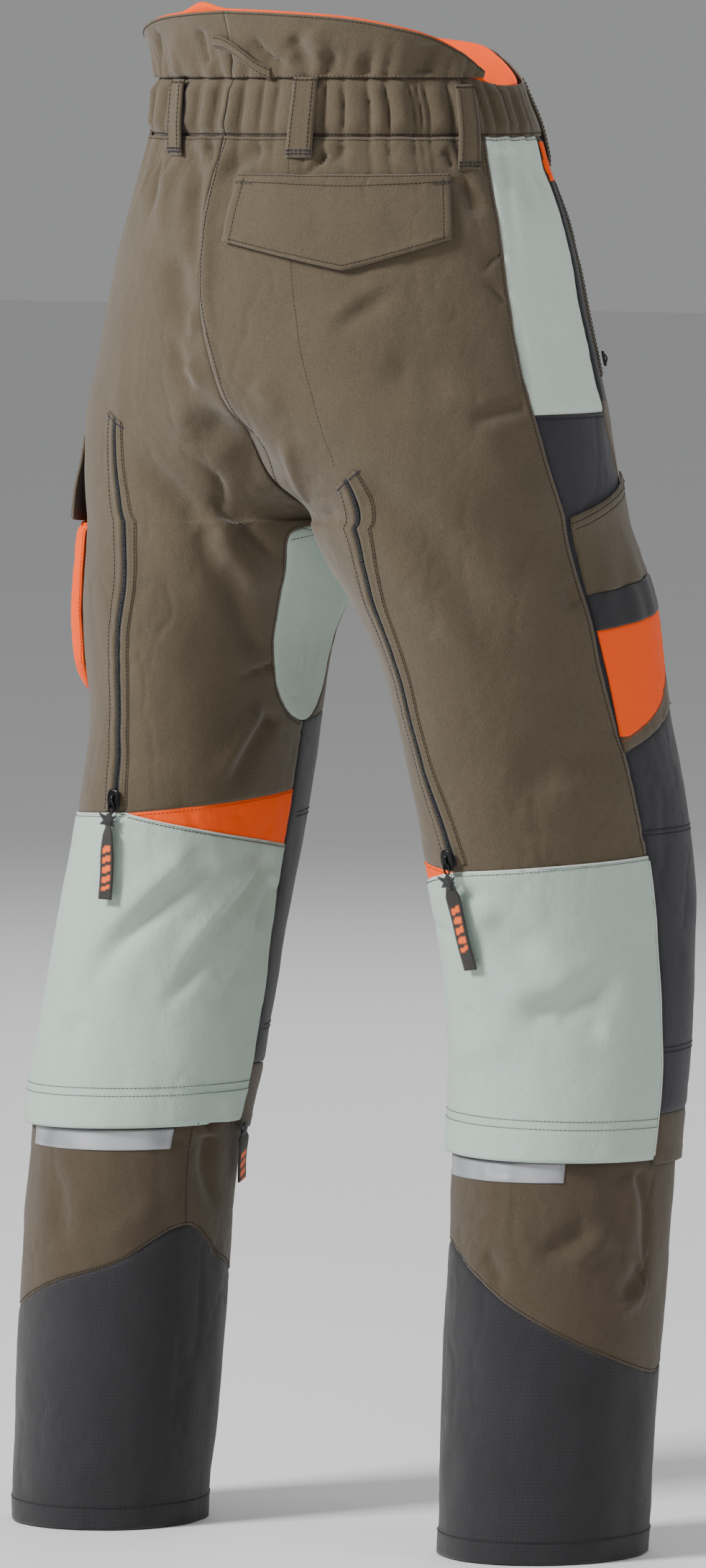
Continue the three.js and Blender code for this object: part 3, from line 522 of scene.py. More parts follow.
CUFF_TOP = {
    LEFT: [(0, 200), (0.3, 150), (0.59, 162), (0.655, 174), (0.72, 187), (0.81, 201), (0.92, 228),
           (1, 200)],
    RIGHT: [(0, 215), (0.2, 165), (0.36, 140), (0.42, 134), (0.54, 154), (0.66, 185), (0.75, 213),
            (0.83, 230), (1, 215)],
}
SHELL_TOP = [(0.0, 604), (0.03, 606), (0.345, 624), (0.482, 592)]


def waist_top(u):
    return along(WAIST_TOP, np.where(u > 1, 2 - u, u))


def guides_between(first, last, foot, top, count):
    """Upright guides whose foot and top follow two rules of u."""
    return [[(u, float(foot(u))), (u, float(top(u)))] for u in np.linspace(first, last, count)]


# ---------------------------------------------------------------- gathers of the elastic waist
def pleat_places(seed):
    """Where each pleat starts round one half of the waist, how full it is and how far it leans."""
    random = np.random.default_rng(seed)
    places = [0.0]
    while places[-1] < 1.0:
        places.append(places[-1] + random.uniform(0.011, 0.05))
    return np.array(places), random.uniform(0.55, 1.15, len(places)), random.uniform(-1, 1, len(places))


PLEATS = {LEFT: pleat_places(5), RIGHT: pleat_places(19)}


def gathers(side, u, lean=0.0):
    """Rounded pleats with sharp creases between them, 0 in a crease and 1 on a crown."""
    places, size, tilt = PLEATS[side]
    q = np.where(u > 1, 2 - u, u) + lean
    k = np.clip(np.searchsorted(places, q, side="right") - 1, 0, len(places) - 2)
    f = (q - places[k]) / (places[k + 1] - places[k])
    f = np.clip(f + 0.18 * tilt[k] * f * (1 - f) * 4 * 0.5, 0, 1)
    return size[k] * np.sqrt(np.clip(np.sin(np.pi * f), 0, 1)) * np.minimum(
        1.3, (places[k + 1] - places[k]) / 0.024)


# ---------------------------------------------------------------- finishes
def linear(rgb):
    """An 8-bit display colour as the linear colour a shader takes."""
    values = [c / 255.0 for c in rgb]
    return [c / 12.92 if c <= 0.04045 else ((c + 0.055) / 1.055) ** 2.4 for c in values] + [1.0]


class Finish:
    """A material built node by node."""

    def __init__(self, name, roughness=0.9, metallic=0.0, sheen=0.0, specular=0.3):
        self.material = bpy.data.materials.new(name)
        self.material.use_nodes = True
        self.tree = self.material.node_tree
        self.shader = self.tree.nodes["Principled BSDF"]
        self.shader.inputs["Roughness"].default_value = roughness
        self.shader.inputs["Metallic"].default_value = metallic
        self.shader.inputs["Sheen Weight"].default_value = sheen
        self.shader.inputs["Sheen Roughness"].default_value = 0.55
        self.shader.inputs["Specular IOR Level"].default_value = specular
        self.coords = self.node("ShaderNodeTexCoord")

    def node(self, kind, **settings):
        made = self.tree.nodes.new(kind)
        for key, value in settings.items():
            if key in made.inputs:
                made.inputs[key].default_value = value
            else:
                setattr(made, key, value)
        return made

    def link(self, out, into):
        self.tree.links.new(out, into)

    def noise(self, scale, detail=3.0, roughness=0.6, stretch=(1, 1, 1)):
        mapping = self.node("ShaderNodeMapping", Scale=stretch)
        self.link(self.coords.outputs["Object"], mapping.inputs["Vector"])
        made = self.node("ShaderNodeTexNoise", Scale=scale, Detail=detail, Roughness=roughness)
        self.link(mapping.outputs["Vector"], made.inputs["Vector"])
        return made.outputs["Fac"]

    def waves(self, scale, turn=0.0):
        """Parallel threads on the cloth's own coordinates."""
        mapping = self.node("ShaderNodeMapping", Rotation=(0, 0, turn))
        self.link(self.coords.outputs["UV"], mapping.inputs["Vector"])
        made = self.node("ShaderNodeTexWave", Scale=scale, Distortion=0.0)
        self.link(mapping.outputs["Vector"], made.inputs["Vector"])
        return made.outputs["Fac"]

    def spread(self, value, low, high, out_low=0.0, out_high=1.0):
        made = self.node("ShaderNodeMapRange", **{"From Min": low, "From Max": high,
                                                  "To Min": out_low, "To Max": out_high})
        self.link(value, made.inputs["Value"])
        return made.outputs["Result"]

    def maths(self, operation, a, b):
        made = self.node("ShaderNodeMath", operation=operation)
        for socket, value in zip(made.inputs, (a, b)):
            if isinstance(value, (int, float)):
                socket.default_value = value
            else:
                self.link(value, socket)
        return made.outputs["Value"]

    def mix(self, share, a, b):
        made = self.node("ShaderNodeMix", data_type="RGBA")
        for index, value in ((0, share), (6, a), (7, b)):
            if hasattr(value, "links"):
                self.link(value, made.inputs[index])
            else:
                made.inputs[index].default_value = value
        return made.outputs[2]

    def seam(self):
        made = self.node("ShaderNodeAttribute", attribute_name="seam")
        return made.outputs["Fac"]

    def colour(self, value):
        self.link(value, self.shader.inputs["Base Color"])

    def rough(self, value):
        self.link(value, self.shader.inputs["Roughness"])

    def bump(self, value, strength, distance, under=None):
        made = self.node("ShaderNodeBump", Strength=strength, Distance=distance)
        self.link(value, made.inputs["Height"])
        if under is not None:
            self.link(under, made.inputs["Normal"])
        self.link(made.outputs["Normal"], self.shader.inputs["Normal"])
        return made.outputs["Normal"]


def woven(name, base, fleck=0.12, twill=0.7, pitch=0.0011, roughness=0.88, sheen=0.2, worn=0.06,
          grain=900.0, patchy=0.06, wrinkle=0.0006, glow=0.0):
    """Work cloth: yarn flecks, slow shade changes, twill ridges, paler worn seam edges.  A glow setting
    adds emission in the cloth's own colour: painted light that makes it brighter than the lamps make it."""
    f = Finish(name, roughness=roughness, sheen=sheen, specular=0.22)
    base = linear(base)
    dark = [c * (1 - fleck * 1.6) for c in base[:3]] + [1]
    pale = [min(1, c * (1 + fleck * 1.5) + 0.004) for c in base[:3]] + [1]
    yarn = f.spread(f.noise(grain, 2.0, 0.7), 0.3, 0.7)
    slow = f.spread(f.noise(16, 3.0, 0.5), 0.3, 0.7, 0.5 - patchy * 4, 0.5 + patchy * 4)
    colour = f.mix(f.maths("ADD", f.maths("MULTIPLY", yarn, 0.62), f.maths("MULTIPLY", slow, 0.38)),
                   dark, pale)
    edge = f.maths("MULTIPLY", f.seam(), f.spread(f.noise(220, 2.0), 0.35, 0.65, 0.2, 1.0))
    colour = f.mix(f.maths("MULTIPLY", edge, worn), colour, [min(1, c * 1.7) for c in base[:3]] + [1])
    f.colour(colour)
    f.rough(f.spread(f.noise(120, 2.0), 0.3, 0.7, roughness - 0.06, min(1, roughness + 0.06)))
    crumple = f.bump(f.noise(42, 5.0, 0.6, stretch=(1, 1, 0.6)), 0.7, 3.2 * wrinkle)
    soft = f.bump(f.noise(150, 4.0, 0.6), 0.4, wrinkle, crumple)
    threads = f.waves(0.5 / pitch, turn=math.radians(63))
    ground = f.maths("ADD", f.maths("MULTIPLY", threads, twill), f.maths("MULTIPLY", yarn, 0.8))
    f.bump(ground, 0.35, 0.00035, soft)
    # painted glow: the cloth gives off light in its own colour, as though it were a lamp
    if glow:
        f.shader.inputs["Emission Color"].default_value = base
        f.shader.inputs["Emission Strength"].default_value = glow
    return f.material


def ripstop(name, base, cell=0.0042):
    """Tough cloth with a raised square grid of heavier yarns and short dobby floats."""
    f = Finish(name, roughness=0.82, sheen=0.2, specular=0.25)
    base = linear(base)
    grid = f.node("ShaderNodeTexBrick", Scale=1.0, **{
        "Mortar Size": 0.09, "Mortar Smooth": 0.6, "Brick Width": 1.0, "Row Height": 0.62})
    grid.offset = 0.0
    mapping = f.node("ShaderNodeMapping", Scale=(1 / cell, 1 / cell, 1))
    f.link(f.coords.outputs["UV"], mapping.inputs["Vector"])
    f.link(mapping.outputs["Vector"], grid.inputs["Vector"])
    lines = grid.outputs["Fac"]
    yarn = f.spread(f.noise(800, 2.0, 0.7), 0.3, 0.7)
    slow = f.spread(f.noise(20, 3.0, 0.5), 0.3, 0.7)
    dark, pale = [c * 0.72 for c in base[:3]] + [1], [c * 1.35 for c in base[:3]] + [1]
    colour = f.mix(f.maths("ADD", f.maths("MULTIPLY", yarn, 0.6), f.maths("MULTIPLY", slow, 0.4)),
                   dark, pale)
    colour = f.mix(f.maths("MULTIPLY", lines, 0.55), colour, [c * 0.5 for c in base[:3]] + [1])
    colour = f.mix(f.maths("MULTIPLY", f.seam(), 0.1), colour, [c * 1.6 for c in base[:3]] + [1])
    f.colour(colour)
    f.rough(f.spread(yarn, 0, 1, 0.74, 0.9))
    soft = f.bump(f.noise(150, 3.0), 0.3, 0.0006)
    f.bump(f.maths("SUBTRACT", f.maths("MULTIPLY", yarn, 0.5), lines), 0.5, 0.0004, soft)
    return f.material


def reflective(name):
    f = Finish(name, roughness=0.34, metallic=0.35, specular=0.6)
    crease = f.spread(f.noise(26, 2.0, 0.5, stretch=(1, 1, 0.25)), 0.3, 0.7)
    f.colour(f.mix(crease, linear((150, 151, 156)), linear((192, 193, 198))))
    f.rough(f.spread(crease, 0, 1, 0.26, 0.46))
    soft = f.bump(f.noise(60, 2.0), 0.4, 0.001)
    f.bump(f.waves(700, turn=math.radians(45)), 0.15, 0.0001, soft)
    return f.material


def plain(name, colour, roughness=0.6, metallic=0.0, grain=600.0, specular=0.4, shift=0.12, dent=0.0002):
    """Thread, tape, moulded or cast finish: small shade changes and a fine grain."""
    f = Finish(name, roughness=roughness, metallic=metallic, specular=specular)
    base = linear(colour)
    tone = f.spread(f.noise(grain, 2.0), 0.3, 0.7)
    f.colour(f.mix(tone, [c * (1 - shift) for c in base[:3]] + [1],
                   [min(1, c * (1 + shift)) for c in base[:3]] + [1]))
    f.rough(f.spread(tone, 0, 1, max(0.05, roughness - 0.08), min(1, roughness + 0.08)))
    f.bump(f.noise(grain * 1.6, 2.0), 0.3, dent)
    return f.material


def tape_weave(name, colour, roughness=0.7, ribs=500.0, stripe=None):
    """Narrow woven tape with cross ribs, and a block stripe where one is asked for."""
    f = Finish(name, roughness=roughness, sheen=0.2, specular=0.3)
    base = linear(colour)
    ribs_value = f.waves(ribs, turn=math.radians(90))
    yarn = f.spread(f.noise(900, 2.0), 0.3, 0.7)
    tone = f.mix(yarn, [c * 0.75 for c in base[:3]] + [1], [c * 1.3 for c in base[:3]] + [1])
    if stripe is not None:
        mark = f.node("ShaderNodeAttribute", attribute_name="stripe").outputs["Fac"]
        tone = f.mix(mark, tone, linear(stripe))
    f.colour(tone)
    f.rough(f.spread(yarn, 0, 1, roughness - 0.08, roughness + 0.08))
    f.bump(ribs_value, 0.4, 0.0003)
    return f.material


TAUPE = woven("taupe_work_cloth", (85, 74, 57), fleck=0.2)
TAUPE_LOW = woven("taupe_leg_cloth", (75, 64, 49), fleck=0.17)
SAGE = woven("sage_stretch_cloth", (174, 190, 180), fleck=0.08, twill=0.3, pitch=0.0009, sheen=0.15,
             worn=0.1, patchy=0.03)
# painted light: a paler copy of the sage cloth, so the hip panels read as more brightly lit than the calf
SAGE_HIP_PAINTED_LIGHT = woven("sage_hip_cloth", (200, 214, 204), fleck=0.08, twill=0.3, pitch=0.0009, sheen=0.15,
                 worn=0.1, patchy=0.03)
CHARCOAL = ripstop("charcoal_ripstop", (40, 39, 42))
CHARCOAL_SIDE = ripstop("charcoal_side_cloth", (41, 41, 46), cell=0.0036)
# the orange cloth carries a small emission, a painted glow that brightens it beyond its lighting
ORANGE = woven("orange_cloth", (255, 84, 0), fleck=0.05, twill=0.35, sheen=0.05, worn=0.0, patchy=0.02,
               roughness=0.8, glow=0.06)
ELASTIC = tape_weave("black_elastic", (30, 31, 34), ribs=320.0)
TAPE = tape_weave("black_zip_tape", (30, 30, 31))
PULL_TAPE = tape_weave("black_pull_tape", (40, 38, 35), ribs=420.0, stripe=(252, 104, 24))
SILVER = reflective("silver_tape")
FLEECE = woven("protective_fleece", (216, 212, 196), fleck=0.06, twill=0.1, worn=0.0)
COIL = plain("zip_coil", (24, 24, 26), roughness=0.32, specular=0.6)
BLACK_METAL = plain("black_zip_metal", (26, 26, 28), roughness=0.3, metallic=0.6)
BARE_METAL = plain("bare_zip_metal", (178, 178, 180), roughness=0.32, metallic=0.95)
BUTTON = plain("black_button", (28, 28, 28), roughness=0.45)
DARK_THREAD = plain("dark_taupe_thread", (48, 40, 33), roughness=0.75, grain=1500.0)
PALE_THREAD = plain("pale_taupe_thread", (120, 106, 86), roughness=0.75, grain=1500.0)
SAGE_THREAD = plain("grey_green_thread", (104, 114, 108), roughness=0.75, grain=1500.0)
NAVY_THREAD = plain("navy_bar_tack_thread", (44, 42, 58), roughness=0.75, grain=1500.0)
ORANGE_THREAD = plain("rust_thread", (196, 78, 10), roughness=0.75, grain=1500.0)
PIPING = plain("pale_piping", (206, 212, 204), roughness=0.8, grain=1100.0)
CHARCOAL_THREAD = plain("black_thread", (34, 34, 37), roughness=0.75, grain=1500.0)


# ---------------------------------------------------------------- cloth panels
def yoke_flare(cloth):
    """The stiff yoke stands away from the back at its free edge, most of all at the sides."""
    u = np.where(cloth.u > 1, 2 - cloth.u, cloth.u)
    rise = smooth((cloth.z - BAND_TOP_Z) / 44)
    return -1.2 + (3.0 + 7.0 * np.exp(-((u - 0.66) / 0.11) ** 2)) * rise * smooth((u - 0.5) / 0.08)


def waist():
    for word, side in SIDES:
        foot, top = (lambda u: BAND_TOP_Z), (lambda u: waist_top(u) - 0.4)
        yoke = Cloth(side, guides_between(0.53, 1.0, foot, top, 24), 2.6)
        rise = np.clip((yoke.z - BAND_TOP_Z) / 50, 0, 1)
        fall = gathers(side, yoke.u, 0.03 * rise) * 3.4 * (1 - smooth(rise * 1.3))
        extra = fall - 1.6 * np.exp(-(yoke.from_foot / 2.5) ** 2) + yoke_flare(yoke)
        extra = extra + 0.5 * (1 - smooth((yoke.from_top - 5) / 1.5))
        sew_in(f"kidney_yoke_{word}_cloth", yoke, TAUPE, "taupe_cloth", [f"kidney_yoke_{word}"],
               extra=extra, held="hung")

        top = (lambda u: BAND_TOP_Z - (BAND_TOP_Z - SIDE_TOP_Z) * float(smooth((0.56 - u) / 0.06)))
        back = Cloth(side, guides_between(0.485, 1.0, lambda u: WAIST_SEAM_Z, top, 20), 1.6)
        crown = gathers(side, back.u, 0.006 * RIPPLE(back.bare + 5, (40, 40, 26)))
        edge = np.minimum(back.from_foot, back.from_top)
        hold = 0.35 + 0.65 * smooth(edge / 11)
        extra = -3.2 + 6.2 * crown * hold - 1.6 * np.exp(-(edge / 2.2) ** 2)
        sew_in(f"waistband_back_{word}_cloth", back, TAUPE, "taupe_cloth", [f"waistband_back_{word}"],
               extra=extra, held="gathered", slack=1.25)

        front = Cloth(side, guides_between(0.0, 0.485, lambda u: WAIST_SEAM_Z,
                                           lambda u: waist_top(u) - 0.4, 20), 2.4)
        share = smooth((front.u - 0.35) / 0.13)
        edge = np.minimum(front.from_foot, front.from_top)
        crown = gathers(side, front.u, 0.006 * RIPPLE(front.bare + 5, (40, 40, 26)))
        extra = 1.4 - 4.6 * share + 6.2 * crown * share * (0.35 + 0.65 * smooth(edge / 11))
        extra = extra + seam_edge(front, "cd", "d", band=6.0)
        sew_in(f"waistband_front_{word}_cloth", front, TAUPE, "taupe_cloth",
               [f"waistband_front_{word}"], extra=extra, held="gathered", slack=1.1)
    lining = Cloth(LEFT, guides_between(0.004, 1.996, lambda u: WAIST_SEAM_Z + 4,
                                        lambda u: waist_top(u) + 0.6, 60), 4.0)
    peek = 6.0 * np.exp(-(((lining.u - 0.94) / 0.035) ** 2)) * smooth((lining.z - 1120) / 14)
    lining.bare[..., 2] += peek
    behind_band = 1 - smooth((lining.z - BAND_TOP_Z + 2) / 8)
    sink = 3.8 * behind_band * smooth((1 - np.abs(lining.u - 1) - 0.36) / 0.06)
    sew_in("waist_lining_cloth", lining, ORANGE, "orange_cloth", ["waist_lining"],
           extra=yoke_flare(lining) - 2.4 - sink, thick=1.0, held="gathered")


def band_gather_fall(cloth, side, strength=3.6, reach=42.0):
    """Short folds that run down from the gathered waist seam and die out."""
    below = np.maximum(WAIST_SEAM_Z - cloth.z, 0)
    drift = 0.00018 * below
    return strength * (gathers(side, cloth.u, drift) - 0.5) * np.exp(-(below / reach) ** 1.3)


def seat_and_thigh():
    for word, side in SIDES:
        low = KNEE_OUTER_Z[side]
        outer = part_of(SIDE_SEAM, low, WAIST_SEAM_Z)
        outer[0, 0] = 0.474
        middle = curve_through([KNEE_TIP[side], (0.742, 660), (0.745, 760), (0.77, 860),
                                (0.78, WAIST_SEAM_Z)])
        inner = np.concatenate([[[1.0, KNEE_INNER_Z[side]]], GUSSET_LINE, [[1.0, WAIST_SEAM_Z]]])
        back = Cloth(side, [outer, middle, inner], 2.9)
        extra = seam_edge(back, "abd") + seam_edge(back, "c", depth=0.5) + band_gather_fall(back, side)
        sew_in(f"back_panel_{word}_cloth", back, TAUPE, "taupe_cloth", [f"back_panel_{word}"],
               extra=extra, held="hung", slack=1.03)

        edge = GUSSET_LINE[(GUSSET_LINE[:, 1] > 605)]
        mirrored = np.stack([2 - edge[:, 0], edge[:, 1]], -1)
        gusset = Cloth(side, [edge, mirrored], 3.0)
        sew_in(f"inner_thigh_gusset_{word}_cloth", gusset, SAGE, "sage_stretch",
               [f"inner_thigh_gusset_{word}"], extra=seam_edge(gusset, "ab", depth=1.0), lift=-0.3)

        hip_back = part_of(SIDE_SEAM, HIP_PANEL_FOOT_Z, WAIST_SEAM_Z)
        hip_front = part_of(HIP_FRONT, HIP_PANEL_FOOT_Z, WAIST_SEAM_Z)
        hip = Cloth(side, [hip_front, hip_back], 2.6)
        below = WAIST_SEAM_Z - hip.z
        pinch = 1.7 * np.cos(hip.from_last / hip.across[-1:].max() * 2 * np.pi * 4.4) * np.exp(-below / 60)
        # the hip panels take the paler sage copy, painted light standing in for brighter lighting
        sew_in(f"hip_side_panel_{word}_cloth", hip, SAGE_HIP_PAINTED_LIGHT, "sage_stretch", [f"hip_side_panel_{word}"],
               extra=seam_edge(hip, "abcd") + pinch, lift=-0.4)

        front_outer = part_of(HIP_FRONT, 623, WAIST_SEAM_Z)
        front_inner = np.concatenate([
            np.stack([1 - np.clip(GUSSET_LINE[:, 0], 0, 1), GUSSET_LINE[:, 1]], -1)[10:],
            [[0.0, WAIST_SEAM_Z]]])
        front = Cloth(side, [front_inner, front_outer], 3.6)
        sew_in(f"front_panel_{word}_cloth", front, TAUPE, "taupe_cloth", [f"front_panel_{word}"],
               extra=seam_edge(front), held="hung", slack=1.03)

        cargo_front = part_of(HIP_FRONT, 624, HIP_PANEL_FOOT_Z - 0.5)
        cargo_back = part_of(SIDE_SEAM, 591, HIP_PANEL_FOOT_Z - 0.5)
        cargo = Cloth(side, [cargo_front, cargo_back], 3.0)
        sew_in(f"cargo_panel_{word}_cloth", cargo, CHARCOAL_SIDE, "charcoal_ripstop",
               [f"cargo_panel_{word}"], extra=seam_edge(cargo))


def lower_half():
    for word, side in SIDES:
        foot, hem = SHELL_FOOT_Z[side], CALF_HEM_Z[side]
        shell_foot = lambda u: foot + 8 * float(smooth((0.2 - u) / 0.2))
        guides = guides_between(0.0, 0.345, shell_foot, lambda u: np.interp(u, *zip(*SHELL_TOP)), 14)
        guides.append([[0.472, foot], [0.4725, 420.0], *part_of(SIDE_SEAM, 512, 592).tolist()])
        shell = Cloth(side, guides, 3.2)
        sew_in(f"leg_shell_{word}_cloth", shell, CHARCOAL_SIDE, "charcoal_ripstop",
               [f"leg_shell_{word}"], extra=seam_edge(shell, "abcd"), held="hung")
        guides = guides_between(0.0, 0.4725, lambda u: hem - 4, lambda u: shell_foot(u) - 0.5, 8)
        edging = Cloth(side, guides, 2.8)
        turned_up = 0.4 * (1 - smooth((edging.from_foot - 9) / 1.5))
        sew_in(f"front_hem_band_{word}_cloth", edging, TAUPE_LOW, "taupe_cloth",
               extra=seam_edge(edging, "bd") + turned_up, held="hung")

        tip_u, tip_z = KNEE_TIP[side]
        count = 12
        at = np.linspace(tip_u, 1.0, count)
        low = np.interp(at, [tip_u, 1.0], [tip_z, WEDGE_FOOT_Z[side]])
        high = np.interp(at, [tip_u, 1.0], [tip_z + 0.4, KNEE_INNER_Z[side]])
        wedge = Cloth(side, [[(u, a), (u, b)] for u, a, b in zip(at, low, high)], 2.6)
        sew_in(f"knee_wedge_{word}_cloth", wedge, ORANGE, "orange_cloth", [f"knee_wedge_{word}"],
               extra=seam_edge(wedge, "bcd", depth=0.6))

        outer = [[0.474, hem], [0.474, KNEE_OUTER_Z[side]]]
        guides = [outer]
        for u in np.linspace(0.474, 1.0, 16)[1:]:
            top = (np.interp(u, [0.474, tip_u], [KNEE_OUTER_Z[side], tip_z]) if u <= tip_u
                   else np.interp(u, [tip_u, 1.0], [tip_z, WEDGE_FOOT_Z[side]]))
            guides.append([[u, hem + 4 * float(smooth((u - 0.474) / 0.526))], [u, float(top)]])
        calf = Cloth(side, guides, 2.9)
        calf_extra = seam_edge(calf, "abd") - 0.5 * np.exp(-(calf.from_foot / 2.0) ** 2)
        calf_extra = calf_extra + 0.5 * (1 - smooth((calf.from_foot - 24) / 1.5))
        sew_in(f"calf_panel_{word}_cloth", calf, SAGE, "sage_stretch", [f"calf_panel_{word}"],
               lift=1.4, extra=calf_extra, held="hung")
        lower_leg(word, side)


def lower_leg(word, side):
    foot, hem = SHELL_FOOT_Z[side], CALF_HEM_Z[side]
    u = np.linspace(0, 1, 185)[:-1]
    cuff_top = along(CUFF_TOP[side], u)
    leg_top = np.where(u < 0.46, foot, hem) + TUCK
    for name, low, high, finish, slot, lift, thick in (
            (f"lower_leg_{word}", cuff_top, leg_top, TAUPE_LOW, "taupe_cloth", LOWER_LEG_LIFT, 1.2),
            (f"cuff_{word}", np.zeros_like(u), cuff_top - 0.3, CHARCOAL, "charcoal_ripstop",
             LOWER_LEG_LIFT, 1.3)):
        rows = int(np.ceil((high - low).max() / 3.2))
        t = np.linspace(0, 1, rows + 1)
        grid = np.stack([np.broadcast_to(u[:, None], (len(u), rows + 1)),
                         low[:, None] * (1 - t) + high[:, None] * t], -1)
        tube = Cloth(side, None, grid=grid)
        borders = "cd" if name.startswith("lower") else "d"
        extra = seam_edge(tube, borders, depth=0.9)
        if name.startswith("cuff"):
            extra = extra + 0.5 * (1 - smooth((tube.from_foot - 17) / 1.5))
            tube.bare[..., 2] = np.maximum(tube.bare[..., 2], 0.3)
            tube.out[..., 2] *= smooth(tube.z / 25)
        sew_in(name + "_cloth", tube, finish, slot, [name], lift=lift, thick=thick, extra=extra,
               held="hung", ring=True)


# ---------------------------------------------------------------- things laid on the cloth
UNDER = {}
LATE_STITCHES = []
TEETH = []


def garment_shell():
    """A search tree over the cloth sewn so far, for what is laid on it or stitched into it."""
    points, faces = [], []
    for piece, _ in SHEETS:
        if piece.name.startswith("waist_lining"):
            continue
        mesh = piece.data
        start = len(points)
        points.extend(v.co.copy() for v in mesh.vertices)
        faces.extend([start + i for i in p.vertices] for p in mesh.polygons)
    UNDER["shell"] = BVHTree.FromPolygons(points, faces)


def touch(side, u, z, reach=24.0):
    """Height of the sewn cloth over the bare surface, found by looking in from outside."""
    bare, out, _, _ = skin_frame(side, u, z)
    height = np.zeros(bare.shape[:-1])
    for place in np.ndindex(height.shape):
        start = Vector((bare[place] + out[place] * reach) * MM)
        hit = UNDER["shell"].ray_cast(start, Vector(-out[place]), 2 * reach * MM)
        height[place] = reach - hit[3] / MM if hit[0] is not None else 0.0
    return height


def beside(side, line, mm):
    """A (u, z) line moved sideways over the cloth, towards larger u."""
    line = np.asarray(line, float)
    stretch = np.linalg.norm(skin(side, line[:, 0] + 0.004, line[:, 1])
                             - skin(side, line[:, 0] - 0.004, line[:, 1]), axis=1) / 0.008
    flat = np.stack([line[:, 0] * stretch.mean(), line[:, 1]], -1)
    run = unit(np.gradient(flat, axis=0))
    moved = flat + np.stack([np.abs(run[:, 1]), -run[:, 0] * np.sign(run[:, 1] + 1e-9)], -1) * mm
    return np.stack([moved[:, 0] / stretch.mean(), moved[:, 1]], -1)


def laid_on(name, side, guides, material, slot, nodes=(), pitch=2.0, thick=1.0, lift=0.15, extra=None,
            held="laid", seat=None):
    """A piece of cloth or tape lying on the sewn cloth."""
    cloth = Cloth(side, guides, pitch)
    ground = touch(side, cloth.u, cloth.z) if seat is None else seat(cloth)
    if extra is not None:
        ground = ground + extra(cloth)
    sew_in(name, cloth, material, slot, nodes, lift=lift + thick, thick=thick, extra=ground, held=held,
           follow=False, slack=1.0)


def rounded(cloth, depth=0.7, width=1.6, borders="abcd"):
    return -depth * np.exp(-(cloth.border(borders) / width) ** 2)


# ---------------------------------------------------------------- stitches, teeth: rows along paths
STITCHES = {}
TREES = {}
THREAD_SLOT = "taupe_cloth"


def stitch(line, thread, body=GARMENT, side=LEFT, gap=0.25, points=None):
    """Keeps a row of stitches along a (u, z) line for sewing at the end."""
    if points is None:
        line = np.asarray(line, float)
        run = np.linalg.norm(np.diff(skin(side, line[:, 0], line[:, 1]), axis=0), axis=1).sum()
        line = spread(line, np.linspace(0, 1, max(3, int(run / 3.0))))
        height = touch(side, line[:, 0], line[:, 1])
        bare, out, _, _ = skin_frame(side, line[:, 0], line[:, 1])
        points = bare + out * (height + gap)[:, None]
    STITCHES.setdefault((thread.name, body), (thread, []))[1].append(points)


